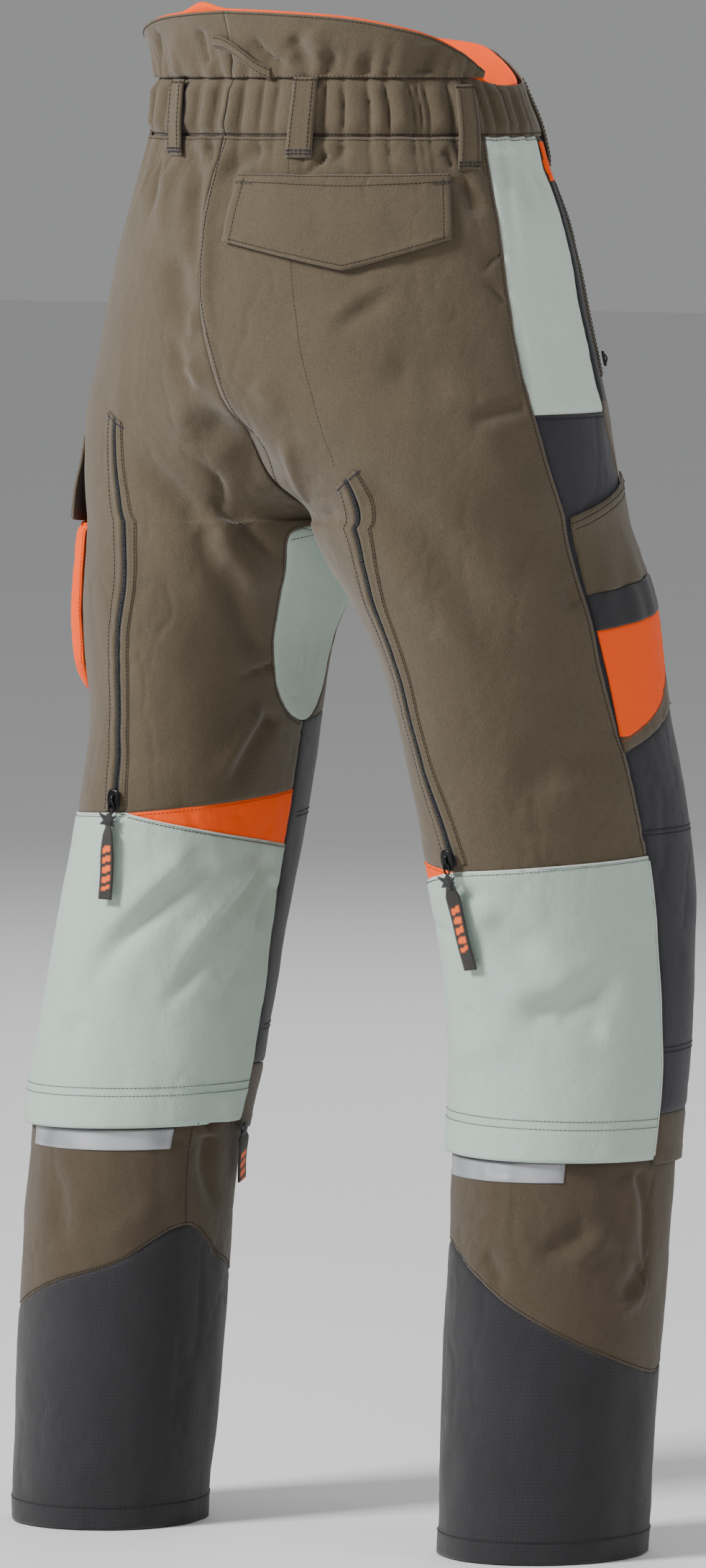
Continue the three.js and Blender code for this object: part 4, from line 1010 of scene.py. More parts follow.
def row_tree(name, shape):
    """Geometry tree that sets small pieces end to end along the edges of a path."""
    tree = bpy.data.node_groups.new(name, "GeometryNodeTree")
    add = tree.interface.new_socket
    add("Path", in_out="INPUT", socket_type="NodeSocketGeometry")
    add("Pitch", in_out="INPUT", socket_type="NodeSocketFloat")
    add("Piece Length", in_out="INPUT", socket_type="NodeSocketFloat")
    add("Piece Width", in_out="INPUT", socket_type="NodeSocketFloat")
    add("Sway", in_out="INPUT", socket_type="NodeSocketFloat")
    add("Seed", in_out="INPUT", socket_type="NodeSocketInt")
    add("Finish", in_out="INPUT", socket_type="NodeSocketMaterial")
    add("Row", in_out="OUTPUT", socket_type="NodeSocketGeometry")
    node, link = tree.nodes.new, tree.links.new
    enter, leave = node("NodeGroupInput"), node("NodeGroupOutput")
    curve, resample = node("GeometryNodeMeshToCurve"), node("GeometryNodeResampleCurve")
    resample.mode = "LENGTH"
    link(enter.outputs["Path"], curve.inputs["Mesh"])
    link(curve.outputs["Curve"], resample.inputs["Curve"])
    link(enter.outputs["Pitch"], resample.inputs["Length"])
    tangent, align = node("GeometryNodeInputTangent"), node("FunctionNodeAlignRotationToVector")
    align.axis = "X"
    link(tangent.outputs["Tangent"], align.inputs["Vector"])
    sway = node("FunctionNodeRandomValue")
    sway.data_type = "FLOAT_VECTOR"
    negative = node("ShaderNodeMath")
    negative.operation = "MULTIPLY"
    negative.inputs[1].default_value = -1.0
    link(enter.outputs["Sway"], negative.inputs[0])
    for value, socket in ((negative.outputs[0], sway.inputs[0]), (enter.outputs["Sway"], sway.inputs[1])):
        link(value, socket)
    link(enter.outputs["Seed"], sway.inputs["Seed"])
    turn = node("FunctionNodeRotateRotation")
    to_rotation = node("FunctionNodeEulerToRotation")
    link(sway.outputs[0], to_rotation.inputs[0])
    link(align.outputs["Rotation"], turn.inputs["Rotation"])
    link(to_rotation.outputs[0], turn.inputs["Rotate By"])
    piece = node(shape)
    if shape == "GeometryNodeMeshCylinder":
        piece.inputs["Vertices"].default_value = 5
        piece.inputs["Radius"].default_value = 0.5
        piece.inputs["Depth"].default_value = 1.0
        lay = node("GeometryNodeTransform")
        lay.inputs["Rotation"].default_value = (0, math.pi / 2, 0)
        link(piece.outputs["Mesh"], lay.inputs["Geometry"])
        body = lay.outputs["Geometry"]
    else:
        piece.inputs["Size"].default_value = (1, 1, 1)
        body = piece.outputs["Mesh"]
    size = node("ShaderNodeCombineXYZ")
    link(enter.outputs["Piece Length"], size.inputs["X"])
    link(enter.outputs["Piece Width"], size.inputs["Y"])
    link(enter.outputs["Piece Width"], size.inputs["Z"])
    instance = node("GeometryNodeInstanceOnPoints")
    link(resample.outputs["Curve"], instance.inputs["Points"])
    link(body, instance.inputs["Instance"])
    link(turn.outputs["Rotation"], instance.inputs["Rotation"])
    link(size.outputs["Vector"], instance.inputs["Scale"])
    real, finish = node("GeometryNodeRealizeInstances"), node("GeometryNodeSetMaterial")
    link(instance.outputs["Instances"], real.inputs["Geometry"])
    link(real.outputs["Geometry"], finish.inputs["Geometry"])
    link(enter.outputs["Finish"], finish.inputs["Material"])
    link(finish.outputs["Geometry"], leave.inputs["Row"])
    return tree


def run_rows(name, paths, shape, finish, slot, body, pitch, long, wide, sway=0.0, seed=3):
    """Runs the tree over the paths and keeps the result as one plain mesh."""
    points, edges = [], []
    for path in paths:
        start = len(points)
        points.extend((np.asarray(path) * MM).tolist())
        edges.extend((start + i, start + i + 1) for i in range(len(path) - 1))
    mesh = bpy.data.meshes.new(name + "_path")
    mesh.from_pydata(points, edges, [])
    guide = bpy.data.objects.new(name + "_path", mesh)
    bpy.context.scene.collection.objects.link(guide)
    if shape not in TREES:
        TREES[shape] = row_tree("row_of_" + shape[17:].lower(), shape)
    tree = TREES[shape]
    modifier = guide.modifiers.new("row", "NODES")
    modifier.node_group = tree
    values = {"Pitch": pitch * MM, "Piece Length": long * MM, "Piece Width": wide * MM, "Sway": sway,
              "Seed": seed, "Finish": finish}
    for item in tree.interface.items_tree:
        if item.item_type == "SOCKET" and item.in_out == "INPUT" and item.name in values:
            modifier[item.identifier] = values[item.name]
    depsgraph = bpy.context.evaluated_depsgraph_get()
    made = bpy.data.meshes.new_from_object(guide.evaluated_get(depsgraph))
    made.name = name
    bpy.data.objects.remove(guide)
    made.polygons.foreach_set("use_smooth", [True] * len(made.polygons))
    settle(name, made, None, slot, body)


def sew_stitches():
    for (thread_name, body), (thread, rows) in sorted(STITCHES.items()):
        slot = {"grey_green_thread": "sage_stretch", "rust_thread": "orange_cloth",
                "black_thread": "charcoal_ripstop"}.get(thread_name, THREAD_SLOT)
        name = f"{thread_name}_on_{body}"
        run_rows(name, rows, "GeometryNodeMeshCylinder", thread, slot, body, 3.1, 2.3, 0.62, sway=0.06)


# ---------------------------------------------------------------- belt loops and hanger
LOOPS = [
    ("back_left", LEFT, 0.861, 0.893, 1087, 1030), ("back_right", RIGHT, 0.864, 0.866, 1089, 1029),
    ("side_left", LEFT, 0.585, 0.605, 1083, 1020), ("side_right", RIGHT, 0.588, 0.605, 1083, 1020),
    ("front_left", LEFT, 0.24, 0.24, 1088, 1020), ("front_right", RIGHT, 0.24, 0.24, 1088, 1020),
]
LOOP_HALF = 0.0195


def belt_loops():
    for word, side, top_u, foot_u, top_z, foot_z in LOOPS:
        guides = [[(foot_u + d, foot_z), (top_u + d, top_z)] for d in (-LOOP_HALF, LOOP_HALF)]
        cloth = Cloth(side, guides, 1.5)
        t = cloth.from_foot / cloth.up[:, -1:].max()
        bow = 4.8 + 2.4 * np.sin(np.pi * t) - 1.6 * (1 - smooth(t / 0.12)) - 1.4 * smooth((t - 0.9) / 0.1)
        middle = np.minimum(cloth.from_first, cloth.from_last)
        crown = 0.5 * smooth(middle / 3.0) - 0.25 * np.exp(-((middle - 7.0) / 0.9) ** 2)
        sew_in(f"belt_loop_{word}_cloth", cloth, TAUPE, "taupe_cloth", [f"belt_loop_{word}"],
               extra=bow + crown + rounded(cloth, 0.7, 1.0), thick=1.5, held="stretched", follow=False)
        for d in (-0.0135, 0.0135):
            t = np.linspace(0.03, 0.97, 26)
            line = np.stack([foot_u + (top_u - foot_u) * t + d, foot_z + (top_z - foot_z) * t], -1)
            LATE_STITCHES.append((line, DARK_THREAD, side, GARMENT))
        for k, z in enumerate((foot_z + 2.0, foot_z + 4.2, top_z - 2.5)):
            u = foot_u + (top_u - foot_u) * (z - foot_z) / (top_z - foot_z)
            for row in (0, 0.6):
                line = np.array([[u - LOOP_HALF * 0.86, z + row], [u + LOOP_HALF * 0.86, z + row]])
                LATE_STITCHES.append((line, NAVY_THREAD if k < 2 else DARK_THREAD, side, GARMENT))


def hanger_loop():
    """A narrow doubled strap that stands off the yoke and drops to the band seam."""
    way = [(0.925, 1091, 1.8), (0.945, 1096, 4.5), (0.965, 1103, 5.6), (0.985, 1109, 4.8),
           (1.01, 1113.5, 3.4), (1.035, 1115, 2.2)]
    places = curve_through([(u, z) for u, z, _ in way])
    stand = along([(k, w[2]) for k, w in enumerate(way)], np.linspace(0, len(way) - 1, len(places)))
    guides = np.stack([places + [0, -4.4], places + [0, 4.4]])
    rows = 7
    t = np.linspace(0, 1, rows)
    grid = guides[0][:, None] * (1 - t)[None, :, None] + guides[1][:, None] * t[None, :, None]
    cloth = Cloth(RIGHT, None, grid=grid)
    bulge = 0.8 * np.sin(np.pi * t)[None, :]
    sew_in("hanger_loop_cloth", cloth, TAUPE, "taupe_cloth", ["hanger_loop"],
           extra=stand[:, None] + bulge, thick=1.3, held="stretched")
    for share in (0.22, 0.78):
        line = cloth.bare + cloth.out * (cloth.height + stand[:, None] + bulge + 0.2)[..., None]
        k = int(round(share * (rows - 1)))
        stitch(None, DARK_THREAD, points=line[2:-2, k])


# ---------------------------------------------------------------- thigh vents
VENT_LINE = {
    LEFT: curve_through([(0.724, 541), (0.72, 557), (0.711, 590), (0.711, 640), (0.713, 698),
                         (0.722, 750), (0.755, 790), (0.796, 836)]),
    RIGHT: curve_through([(0.729, 510), (0.74, 542), (0.753, 575), (0.76, 610), (0.757, 646),
                          (0.755, 672), (0.75, 700), (0.743, 729), (0.757, 760), (0.817, 796)]),
}
VENT_REST = {LEFT: (0.724, 549.0, 0.0), RIGHT: (0.732, 516.0, 0.14)}


def tapered(line, low, high):
    """Sideways offsets that change from foot to top of a line."""
    return low + (high - low) * np.linspace(0, 1, len(line))[:, None]


def shifted(side, line, amounts):
    one = beside(side, line, 1.0) - line
    return line + one * amounts


def vent_zips():
    for word, side in SIDES:
        line = spread(VENT_LINE[side], np.linspace(0, 1, 90))
        open_foot, open_top = 3.0, 1.3
        tape = [shifted(side, line, tapered(line, -5, -5)), shifted(side, line, tapered(line, 5, 5))]
        laid_on(f"vent_zip_{word}_tape", side, tape, TAPE, "black_webbing", [f"vent_zip_{word}"],
                pitch=1.6, thick=0.5, lift=0.2)
        for part, end in (("outer", -12.5), ("inner", 11.0)):
            sign = 1 if part == "inner" else -1
            near = shifted(side, line, tapered(line, sign * open_foot, sign * open_top) * 0.9)
            far = shifted(side, line, tapered(line, end, end * 0.8))
            guides = [far, near] if part == "outer" else [near, far]
            def lip(cloth, part=part):
                from_zip = cloth.from_last if part == "outer" else cloth.from_first
                away = cloth.from_first if part == "outer" else cloth.from_last
                roll = 0.8 if part == "outer" else 0.5
                swell = roll * np.exp(-((from_zip - 2.2) / 2.4) ** 2)
                return swell - 0.9 * np.exp(-(from_zip / 0.9) ** 2) - 0.5 * (1 - smooth(away / 1.6))
            laid_on(f"vent_placket_{word}_{part}", side, guides, TAUPE, "taupe_cloth",
                    pitch=1.5, thick=0.8, lift=0.15, extra=lip)
            off = end + (1.6 if part == "outer" else -1.6)
            row = shifted(side, line, tapered(line, off, off * 0.8))
            LATE_STITCHES.append((row, DARK_THREAD, side, GARMENT))
        bar = np.stack([shifted(side, line, tapered(line, -11, -11))[-2],
                        shifted(side, line, tapered(line, 9.5, 9.5))[-2]])
        for rise in (0.0, 0.8):
            LATE_STITCHES.append((bar + [0, rise], NAVY_THREAD, side, GARMENT))
        height = touch(side, line[:, 0], line[:, 1]) + 0.9
        bare, out, around, _ = skin_frame(side, line[:, 0], line[:, 1])
        for name, off in (("a", -0.75), ("b", 0.75)):
            rows = bare + out * height[:, None] + side * around * off
            TEETH.append((f"zip_teeth_{word}_{name}", rows[2:-1]))


def zip_teeth():
    for name, path in TEETH:
        run_rows(name, [path], "GeometryNodeMeshCube", COIL, "black_webbing", GARMENT, 1.7, 1.0, 1.35,
                 sway=0.1)


# ---------------------------------------------------------------- sliders and pulls
def local_frame(side, u, z, lean):
    """Point, outward, across and up on the bare surface, turned about outward."""
    point, out, around, up = skin_frame(side, np.array(u), np.array(z))
    across = around if side == LEFT else -around
    across = unit(across - out * np.dot(across, out))
    upward = unit(np.cross(out, across))
    if np.dot(upward, up) < 0:
        upward, across = -upward, -across
    turn = np.array(Matrix.Rotation(lean, 3, Vector(out)))
    return point, out, turn @ across, turn @ upward


def lofted(name, rings, material, slot, body, nodes=(), close=True):
    """A closed skin over a stack of rings with the same number of points."""
    rings = np.asarray(rings, float)
    count, around = rings.shape[:2]
    points = rings.reshape(-1, 3)
    faces = []
    for i in range(count - 1):
        for j in range(around):
            k = (j + 1) % around
            faces.append([i * around + j, i * around + k, (i + 1) * around + k, (i + 1) * around + j])
    if close:
        middle = [points[:around].mean(0), points[-around:].mean(0)]
        points = np.concatenate([points, middle])
        low, high = len(points) - 2, len(points) - 1
        last = (count - 1) * around
        for j in range(around):
            k = (j + 1) % around
            faces.append([low, k, j])
            faces.append([high, last + j, last + k])
    mesh = mesh_of(name, points, faces)
    outward(mesh)
    return settle(name, mesh, material, slot, body, nodes)


def outward(mesh):
    import bmesh
    work = bmesh.new()
    work.from_mesh(mesh)
    bmesh.ops.remove_doubles(work, verts=work.verts, dist=1e-7)
    bmesh.ops.recalc_face_normals(work, faces=work.faces)
    work.to_mesh(mesh)
    work.free()


def slider_body(name, frame4, lift, scale, material, slot, body, node):
    """Zip slider: a waisted plate with rounded edges and a raised bridge that holds the pull."""
    point, out, across, up = frame4
    shape = [(-4.5, -7), (0, -7.6), (4.5, -7), (5.6, 0), (4.6, 6), (1.6, 7.8), (-1.6, 7.8), (-4.6, 6),
             (-5.6, 0)]
    outline = curve_through(shape + shape[:1])[:-1][::3] * scale
    levels = [(0.0, 0.82), (0.35, 0.96), (0.8, 1.0), (1.3, 1.0), (1.8, 0.95), (2.1, 0.8)]
    rings = [[point + out * (lift + h * scale) + across * x * k + up * y * k for x, y in outline]
             for h, k in levels]
    lofted(name, rings, material, slot, body, [node])
    sweep = []
    for t in np.linspace(0, 1, 12):
        y = (-4.6 + 9.2 * t) * scale
        h = lift + (1.7 + 1.9 * math.sin(math.pi * t)) * scale
        centre = point + out * h + up * y
        sweep.append([centre + across * 1.3 * scale * math.cos(a) + out * 0.7 * scale * math.sin(a)
                      for a in np.linspace(0, 2 * math.pi, 9)[:-1]])
    lofted(name + "_bridge", sweep, material, slot, body)


def pull(name, frame4, lift, length, width, body, node, curl=1.0):
    """A tape pull: the tape is threaded through a ring and knotted, its cut ends pointing out."""
    point, out, across, up = frame4
    rows, columns = 40, 9
    t, s = np.linspace(0, 1, rows), np.linspace(-1, 1, columns)
    y = -9 - (length - 9) * t
    half = width / 2 * (0.52 + 0.48 * smooth(t / 0.16))
    twist = 0.55 * curl * (1 - smooth(t / 0.5))
    wave = 0.5 * np.sin(2.2 * np.pi * t) * curl
    grid = np.zeros((columns, rows, 3))
    for i, sx in enumerate(s):
        x = half * sx * np.cos(twist)
        h = lift + wave + half * sx * np.sin(twist) * 0.6 + 0.25 * (1 - sx * sx)
        grid[i] = point + across * x[:, None] + up * y[:, None] + out * h[:, None]
    points, faces = closed_shell(grid + out * 0.6, grid - out * 0.6)
    uv = np.stack(np.broadcast_arrays((s[:, None] + 1) * width / 2, -y[None, :]), -1).reshape(-1, 2)
    mesh = mesh_of(name + "_tape", points, faces, np.concatenate([uv, uv]))
    mark = np.zeros((columns, rows))
    for i, sx in enumerate(s):
        slant = (t * (length - 9) + 1.6 * sx - 17) / 7.5
        mark[i] = (np.abs(sx) < 0.62) * (slant > 0) * (slant < 4.4) * ((slant % 1) < 0.62)
    stripe = mesh.attributes.new("stripe", "FLOAT", "POINT")
    marks = np.concatenate([mark.reshape(-1), 0 * mark.reshape(-1)])
    stripe.data.foreach_set("value", marks.astype(np.float32))
    settle(name + "_tape", mesh, PULL_TAPE, "black_webbing", body, [node])
    knot = []
    for k, y in enumerate(np.linspace(-1.5, -12.5, 12)):
        swell = 1.1 + 3.3 * math.sin(math.pi * (k + 0.4) / 12) + 0.5 * math.sin(k * 2.4)
        turn = 0.35 * k
        centre = point + up * y + out * (lift + 0.2) + across * 0.5 * math.sin(k * 1.3)
        knot.append([centre + across * swell * math.cos(a) * (1 + 0.12 * math.sin(3 * a + turn))
                     + out * 0.42 * swell * math.sin(a) for a in np.linspace(0, 2 * math.pi, 17)[:-1]])
    lofted(name + "_knot", knot, TAPE, "black_webbing", body)
    for k, (angle, reach) in enumerate(((2.55, 10.5), (3.5, 8.5), (0.45, 8.0), (5.6, 7.5))):
        way = across * math.cos(angle) + up * math.sin(angle)
        over = np.cross(out, way)
        start = point + up * -7.0 + out * (lift + 0.8)
        rings = []
        for f in np.linspace(0, 1, 7):
            wide = 2.7 * (1 - f) ** 0.8 + 0.15
            centre = start + way * reach * f + out * 0.8 * math.sin(2.6 * f + k)
            rings.append([centre + over * wide * math.cos(a) + out * (0.55 - 0.35 * f) * math.sin(a)
                          for a in np.linspace(0, 2 * math.pi, 9)[:-1]])
        lofted(f"{name}_knot_end_{k}", rings, TAPE, "black_webbing", body)


def ring_link(name, frame4, lift, body, radius=3.0, wire=0.75, drop=-9.5):
    """The wire ring between a slider and its knotted tape."""
    point, out, across, up = frame4
    rings = []
    for a in np.linspace(0, 2 * math.pi, 21)[:-1]:
        way = across * math.cos(a) * 0.8 + up * math.sin(a) * 1.5
        centre = point + way * radius + up * drop + out * lift
        rings.append([centre + unit(way) * wire * math.cos(b) + out * wire * math.sin(b)
                      for b in np.linspace(0, 2 * math.pi, 9)[:-1]])
    rings.append(rings[0])
    lofted(name, rings, BLACK_METAL, "black_metal", body, close=False)


def vent_fittings():
    for word, side in SIDES:
        u, z, lean = VENT_REST[side]
        length, curl = (66.0, 1.0) if side == LEFT else (74.0, -0.8)
        slider, hanging = f"vent_slider_{word}", f"vent_pull_{word}"
        slider_body(slider + "_body", local_frame(side, u, z, 0.0), 4.2, 1.0, BLACK_METAL,
                    "black_metal", slider, slider)
        pull(hanging, local_frame(side, u, z - 9, lean), 8.4, length, 12.0, hanging, hanging, curl=curl)
        ring_link(hanging + "_ring", local_frame(side, u, z, lean * 0.5), 7.6, hanging,
                  radius=3.1, drop=-6.0)
    pull("leg_zip_pull_left", local_frame(LEFT, 1.0, 304, 0.3), 4.0, 50.0, 12.0, "leg_zip_pull_left",
         "leg_zip_pull_left", curl=0.6)


# ---------------------------------------------------------------- seat pocket and cargo pockets
def seat_pocket():
    foot = lambda u: float(np.interp(u, [0.653, 0.80, 0.962], [970, 947, 968]))
    edge_u = lambda u: (u - 0.653) / (0.962 - 0.653)
    guides = []
    for u in np.linspace(0.653, 0.962, 26):
        share = edge_u(u)
        guides.append([[u, foot(u)], [0.639 + 0.316 * share, 1017.0]])
    cloth = Cloth(RIGHT, guides, 1.8)
    t = cloth.from_foot / cloth.up[:, -1:]
    lift = lambda t, wave: 4.9 - 1.4 * smooth(t) + 1.0 * (1 - smooth(t / 0.25)) * wave
    wave = RIPPLE(cloth.bare + 5, (26, 26, 26)) + 0.5
    band = 0.5 * (1 - smooth((cloth.border("abc") - 5.0) / 1.2))
    band = band + 0.45 * (1 - smooth((cloth.from_top - 8) / 1))
    extra = lift(t, wave) + band + rounded(cloth, 0.8, 1.2)
    extra = extra + 0.35 * RIPPLE(cloth.bare + 3, (6, 6, 6)) * np.exp(-(cloth.border("c") / 7) ** 2)
    sew_in("back_pocket_flap_cloth", cloth, TAUPE, "taupe_cloth", ["back_pocket_flap"], extra=extra,
           thick=1.8, body="back_pocket_flap", held="hung")
    face = cloth.bare + cloth.out * (cloth.height + extra + 0.15)[..., None]
    columns, rows = cloth.u.shape
    in_col, in_row = max(2, columns // 24), max(2, rows // 14)
    body = "back_pocket_flap"
    for row in (rows - 2, rows - 6):
        stitch(None, DARK_THREAD, body, points=face[1:-1, row])
    stitch(None, DARK_THREAD, body, points=face[in_col:-in_col, in_row])
    for column in (in_col, columns - 1 - in_col):
        stitch(None, DARK_THREAD, body, points=face[column, in_row:rows - 4])
    for column in (1, columns - 9):
        for row in (rows - 6, rows - 7):
            stitch(None, NAVY_THREAD, body, points=face[column:column + 8, row])

    for word, finish, slot, low, high, lift in (("slit", TAPE, "black_webbing", 988, 1000, 0.1),
                                                ("jet_lower", TAUPE, "taupe_cloth", 982, 993, 0.5),
                                                ("jet_upper", TAUPE, "taupe_cloth", 995.5, 1006, 0.5)):
        laid_on(f"back_pocket_{word}", RIGHT, [[(0.675, low), (0.675, high)], [(0.93, low), (0.93, high)]],
                finish, slot, pitch=1.8, thick=0.5, lift=lift - 0.2, extra=lambda c: rounded(c, 0.4, 1.0))

    bag = Cloth(RIGHT, [[(0.665, 880), (0.655, 1008)], [(0.945, 880), (0.945, 1008)]], 5.0)
    sew_in("back_pocket_bag_cloth", bag, FLEECE, "pad_fleece", ["back_pocket_bag"], lift=-3.4,
           thick=1.2, held="hung")


CARGO_PATCH_FOOT = [(0.352, 672), (0.362, 655), (0.377, 643), (0.402, 629), (0.44, 615), (0.484, 604)]
CARGO_TRIM_TOP = [(0.345, 700), (0.356, 660), (0.377, 642), (0.402, 628), (0.44, 614), (0.484, 603)]


def cargo_right():
    pocket = [curve_through([(0.356, 722), (0.359, 760), (0.362, 797)]),
              curve_through([(0.497, 709), (0.502, 740), (0.512, 767)])]
    def swell(cloth):
        s = cloth.from_first / cloth.across[-1:].max()
        mouth = 1.6 * np.exp(-(cloth.from_top / 16) ** 2) * np.sin(np.pi * np.clip(s, 0, 1))
        pleat = 1.1 * np.cos(s * 17) * np.exp(-(cloth.from_foot / 26) ** 2) * smooth((s + 0.1) / 0.5)
        return 1.0 + mouth + pleat + rounded(cloth, 0.8, 1.3) + 0.4 * (1 - smooth((cloth.from_top - 9) / 1))
    laid_on("phone_pocket_right_cloth", RIGHT, pocket, TAUPE, "taupe_cloth", ["phone_pocket_right"],
            pitch=2.0, thick=1.2, extra=swell, held="stretched")
    mouth = np.array([[0.36, 789.0], [0.44, 775.0], [0.509, 759.5]])
    for drop in (0.0, 6.0):
        LATE_STITCHES.append((curve_through(mouth + [0, 3.0 - drop]), DARK_THREAD, RIGHT, GARMENT))

    elastic = [curve_through([(0.35, 695), (0.358, 721)]), curve_through([(0.496, 683), (0.497, 708.5)])]
    def ribbed(cloth):
        s = cloth.from_first / cloth.across[-1:].max()
        return 1.6 + 0.7 * np.cos(s * 21 + 0.6) * np.sin(np.pi * s) + rounded(cloth, 0.5, 1.0)
    laid_on("cargo_elastic_right_tape", RIGHT, elastic, ELASTIC, "black_webbing", ["cargo_elastic_right"],
            pitch=1.6, thick=1.2, extra=ribbed, held="stretched")

    guides = []
    for u in np.linspace(0.352, 0.4955, 14):
        share = (u - 0.352) / (0.4955 - 0.352)
        foot_z = float(np.interp(u, *zip(*CARGO_PATCH_FOOT)))
        foot_u = u - 0.0115 * share
        guides.append([[foot_u, foot_z], [u, 695.0 - 12.0 * share]])
    def patch_face(cloth):
        return 0.9 + rounded(cloth, 0.7, 1.2) + 0.3 * (1 - smooth((cloth.border("ab") - 5) / 1))
    laid_on("cargo_patch_right_cloth", RIGHT, guides, ORANGE, "orange_cloth", ["cargo_patch_right"],
            pitch=2.2, thick=1.1, extra=patch_face, held="stretched")
    hem = []
    for u in np.linspace(0.345, 0.482, 14):
        low = float(np.interp(u, [0.345, 0.482], [624, 592.5]))
        high = float(np.interp(u, *zip(*CARGO_TRIM_TOP)))
        hem.append([[u, low], [u + 0.001, max(high, low + 4)]])
    laid_on("cargo_trim_right_cloth", RIGHT, hem, TAUPE, "taupe_cloth", pitch=2.4, thick=0.9,
            extra=lambda c: 0.5 + rounded(c, 0.5, 1.2), held="stretched")
    line = [(0.362, 652), (0.378, 640), (0.403, 626.5), (0.441, 612.3), (0.481, 601)]
    LATE_STITCHES.append((curve_through(line), ORANGE_THREAD, RIGHT, GARMENT))


def cargo_left():
    guides = []
    for u in np.linspace(0.37, 0.594, 22):
        share = (u - 0.37) / 0.224
        corner = 22 * (1 - smooth(min(share, 1 - share) / 0.14))
        guides.append([[u, 626.0 + corner], [u + 0.006, 754.0]])
    cloth = Cloth(LEFT, guides, 2.6)
    edge = cloth.border("abc")
    puff = 6.2 * np.sqrt(smooth(edge / 14)) + 2.2 * smooth(edge / 40)
    puff = puff + 0.7 * RIPPLE(cloth.bare, (18, 18, 18))
    top_dip = -2.5 * (1 - smooth(cloth.from_top / 8))
    sew_in("cargo_pocket_left_cloth", cloth, ORANGE, "orange_cloth", ["cargo_pocket_left"],
           extra=1.8 + puff + top_dip, thick=1.2, held="gathered", slack=1.15)
    line = [(0.374, 752), (0.373, 660), (0.379, 642), (0.4, 629), (0.48, 627.6), (0.565, 629), (0.587, 643),
            (0.594, 662), (0.598, 752)]
    LATE_STITCHES.append((curve_through(line), ORANGE_THREAD, LEFT, GARMENT))

    guides = []
    for u in np.linspace(0.372, 0.6, 22):
        share = (u - 0.372) / 0.228
        guides.append([[u, 757.0 - 5 * math.sin(math.pi * share)], [u + 0.012 - 0.008 * share, 819.0]])
    flap = Cloth(LEFT, guides, 2.2)
    t = flap.from_foot / flap.up[:, -1:]
    extra = 11.6 - 8.6 * smooth(t) + rounded(flap, 0.8, 1.3)
    extra = extra + 0.5 * (1 - smooth((flap.border("abc") - 6) / 1))
    extra = extra + 0.5 * RIPPLE(flap.bare + 9, (20, 20, 20))
    sew_in("cargo_flap_left_cloth", flap, TAUPE, "taupe_cloth", ["cargo_flap_left"], extra=extra,
           thick=1.7, body="cargo_flap_left", held="hung")
    face = flap.bare + flap.out * (flap.height + extra + 0.15)[..., None]
    for row in (2, flap.u.shape[1] - 2, flap.u.shape[1] - 6):
        stitch(None, DARK_THREAD, "cargo_flap_left", points=face[2:-2, row])
    for column in (2, flap.u.shape[0] - 3):
        stitch(None, DARK_THREAD, "cargo_flap_left", points=face[column, 2:-6])


# ---------------------------------------------------------------- front closure, tapes and inner layers
def front_closure():
    for word, side in SIDES:
        line = spread(curve_through([(0.372, 868), (0.362, 930), (0.35, 1012)]), np.linspace(0, 1, 60))
        tape = [shifted(side, line, tapered(line, -5, -5)), shifted(side, line, tapered(line, 5, 5))]
        laid_on(f"front_pocket_zip_{word}_tape", side, tape, TAPE, "black_webbing",
                [f"front_pocket_zip_{word}"], pitch=1.8, thick=0.5, lift=0.3)
        for part, sign in (("outer", 1), ("inner", -1)):
            near = shifted(side, line, tapered(line, sign * 2.0, sign * 2.0))
            far = shifted(side, line, tapered(line, sign * 8.5, sign * 8.5))
            guides = [near, far] if sign > 0 else [far, near]
            laid_on(f"front_pocket_welt_{word}_{part}", side, guides, TAUPE, "taupe_cloth", pitch=1.8,
                    thick=1.0, lift=0.3, extra=lambda c: rounded(c, 0.6, 1.0) + 0.2)
            LATE_STITCHES.append((shifted(side, line, tapered(line, sign * 7.0, sign * 7.0)), DARK_THREAD,
                                  side, GARMENT))
        height = touch(side, line[:, 0], line[:, 1]) + 0.8
        bare, out, around, _ = skin_frame(side, line[:, 0], line[:, 1])
        for name, off in (("a", -0.7), ("b", 0.7)):
            TEETH.append((f"front_zip_teeth_{word}_{name}", bare + out * height[:, None] + around * off))
        slider = f"front_pocket_slider_{word}"
        slider_body(slider + "_body", local_frame(side, 0.371, 880, 0.0), 5.2, 0.8, BLACK_METAL,
                    "black_metal", slider, slider)
        edge = part_of(HIP_FRONT, 850, WAIST_SEAM_Z - 4)
        facing = [beside(side, edge, -19.0), edge]
        laid_on(f"front_pocket_facing_{word}_cloth", side, facing, CHARCOAL_SIDE, "charcoal_ripstop",
                pitch=2.4, thick=0.8, lift=0.25, extra=lambda c: rounded(c, 0.4, 1.0))
        edge = part_of(HIP_FRONT, 1012, WAIST_SEAM_Z - 4)
        laid_on(f"front_pocket_lining_{word}_cloth", side, [beside(side, edge, -9.0), edge], ORANGE,
                "orange_cloth", pitch=2.0, thick=0.8, lift=1.2, extra=lambda c: rounded(c, 0.4, 1.0))
    fly()


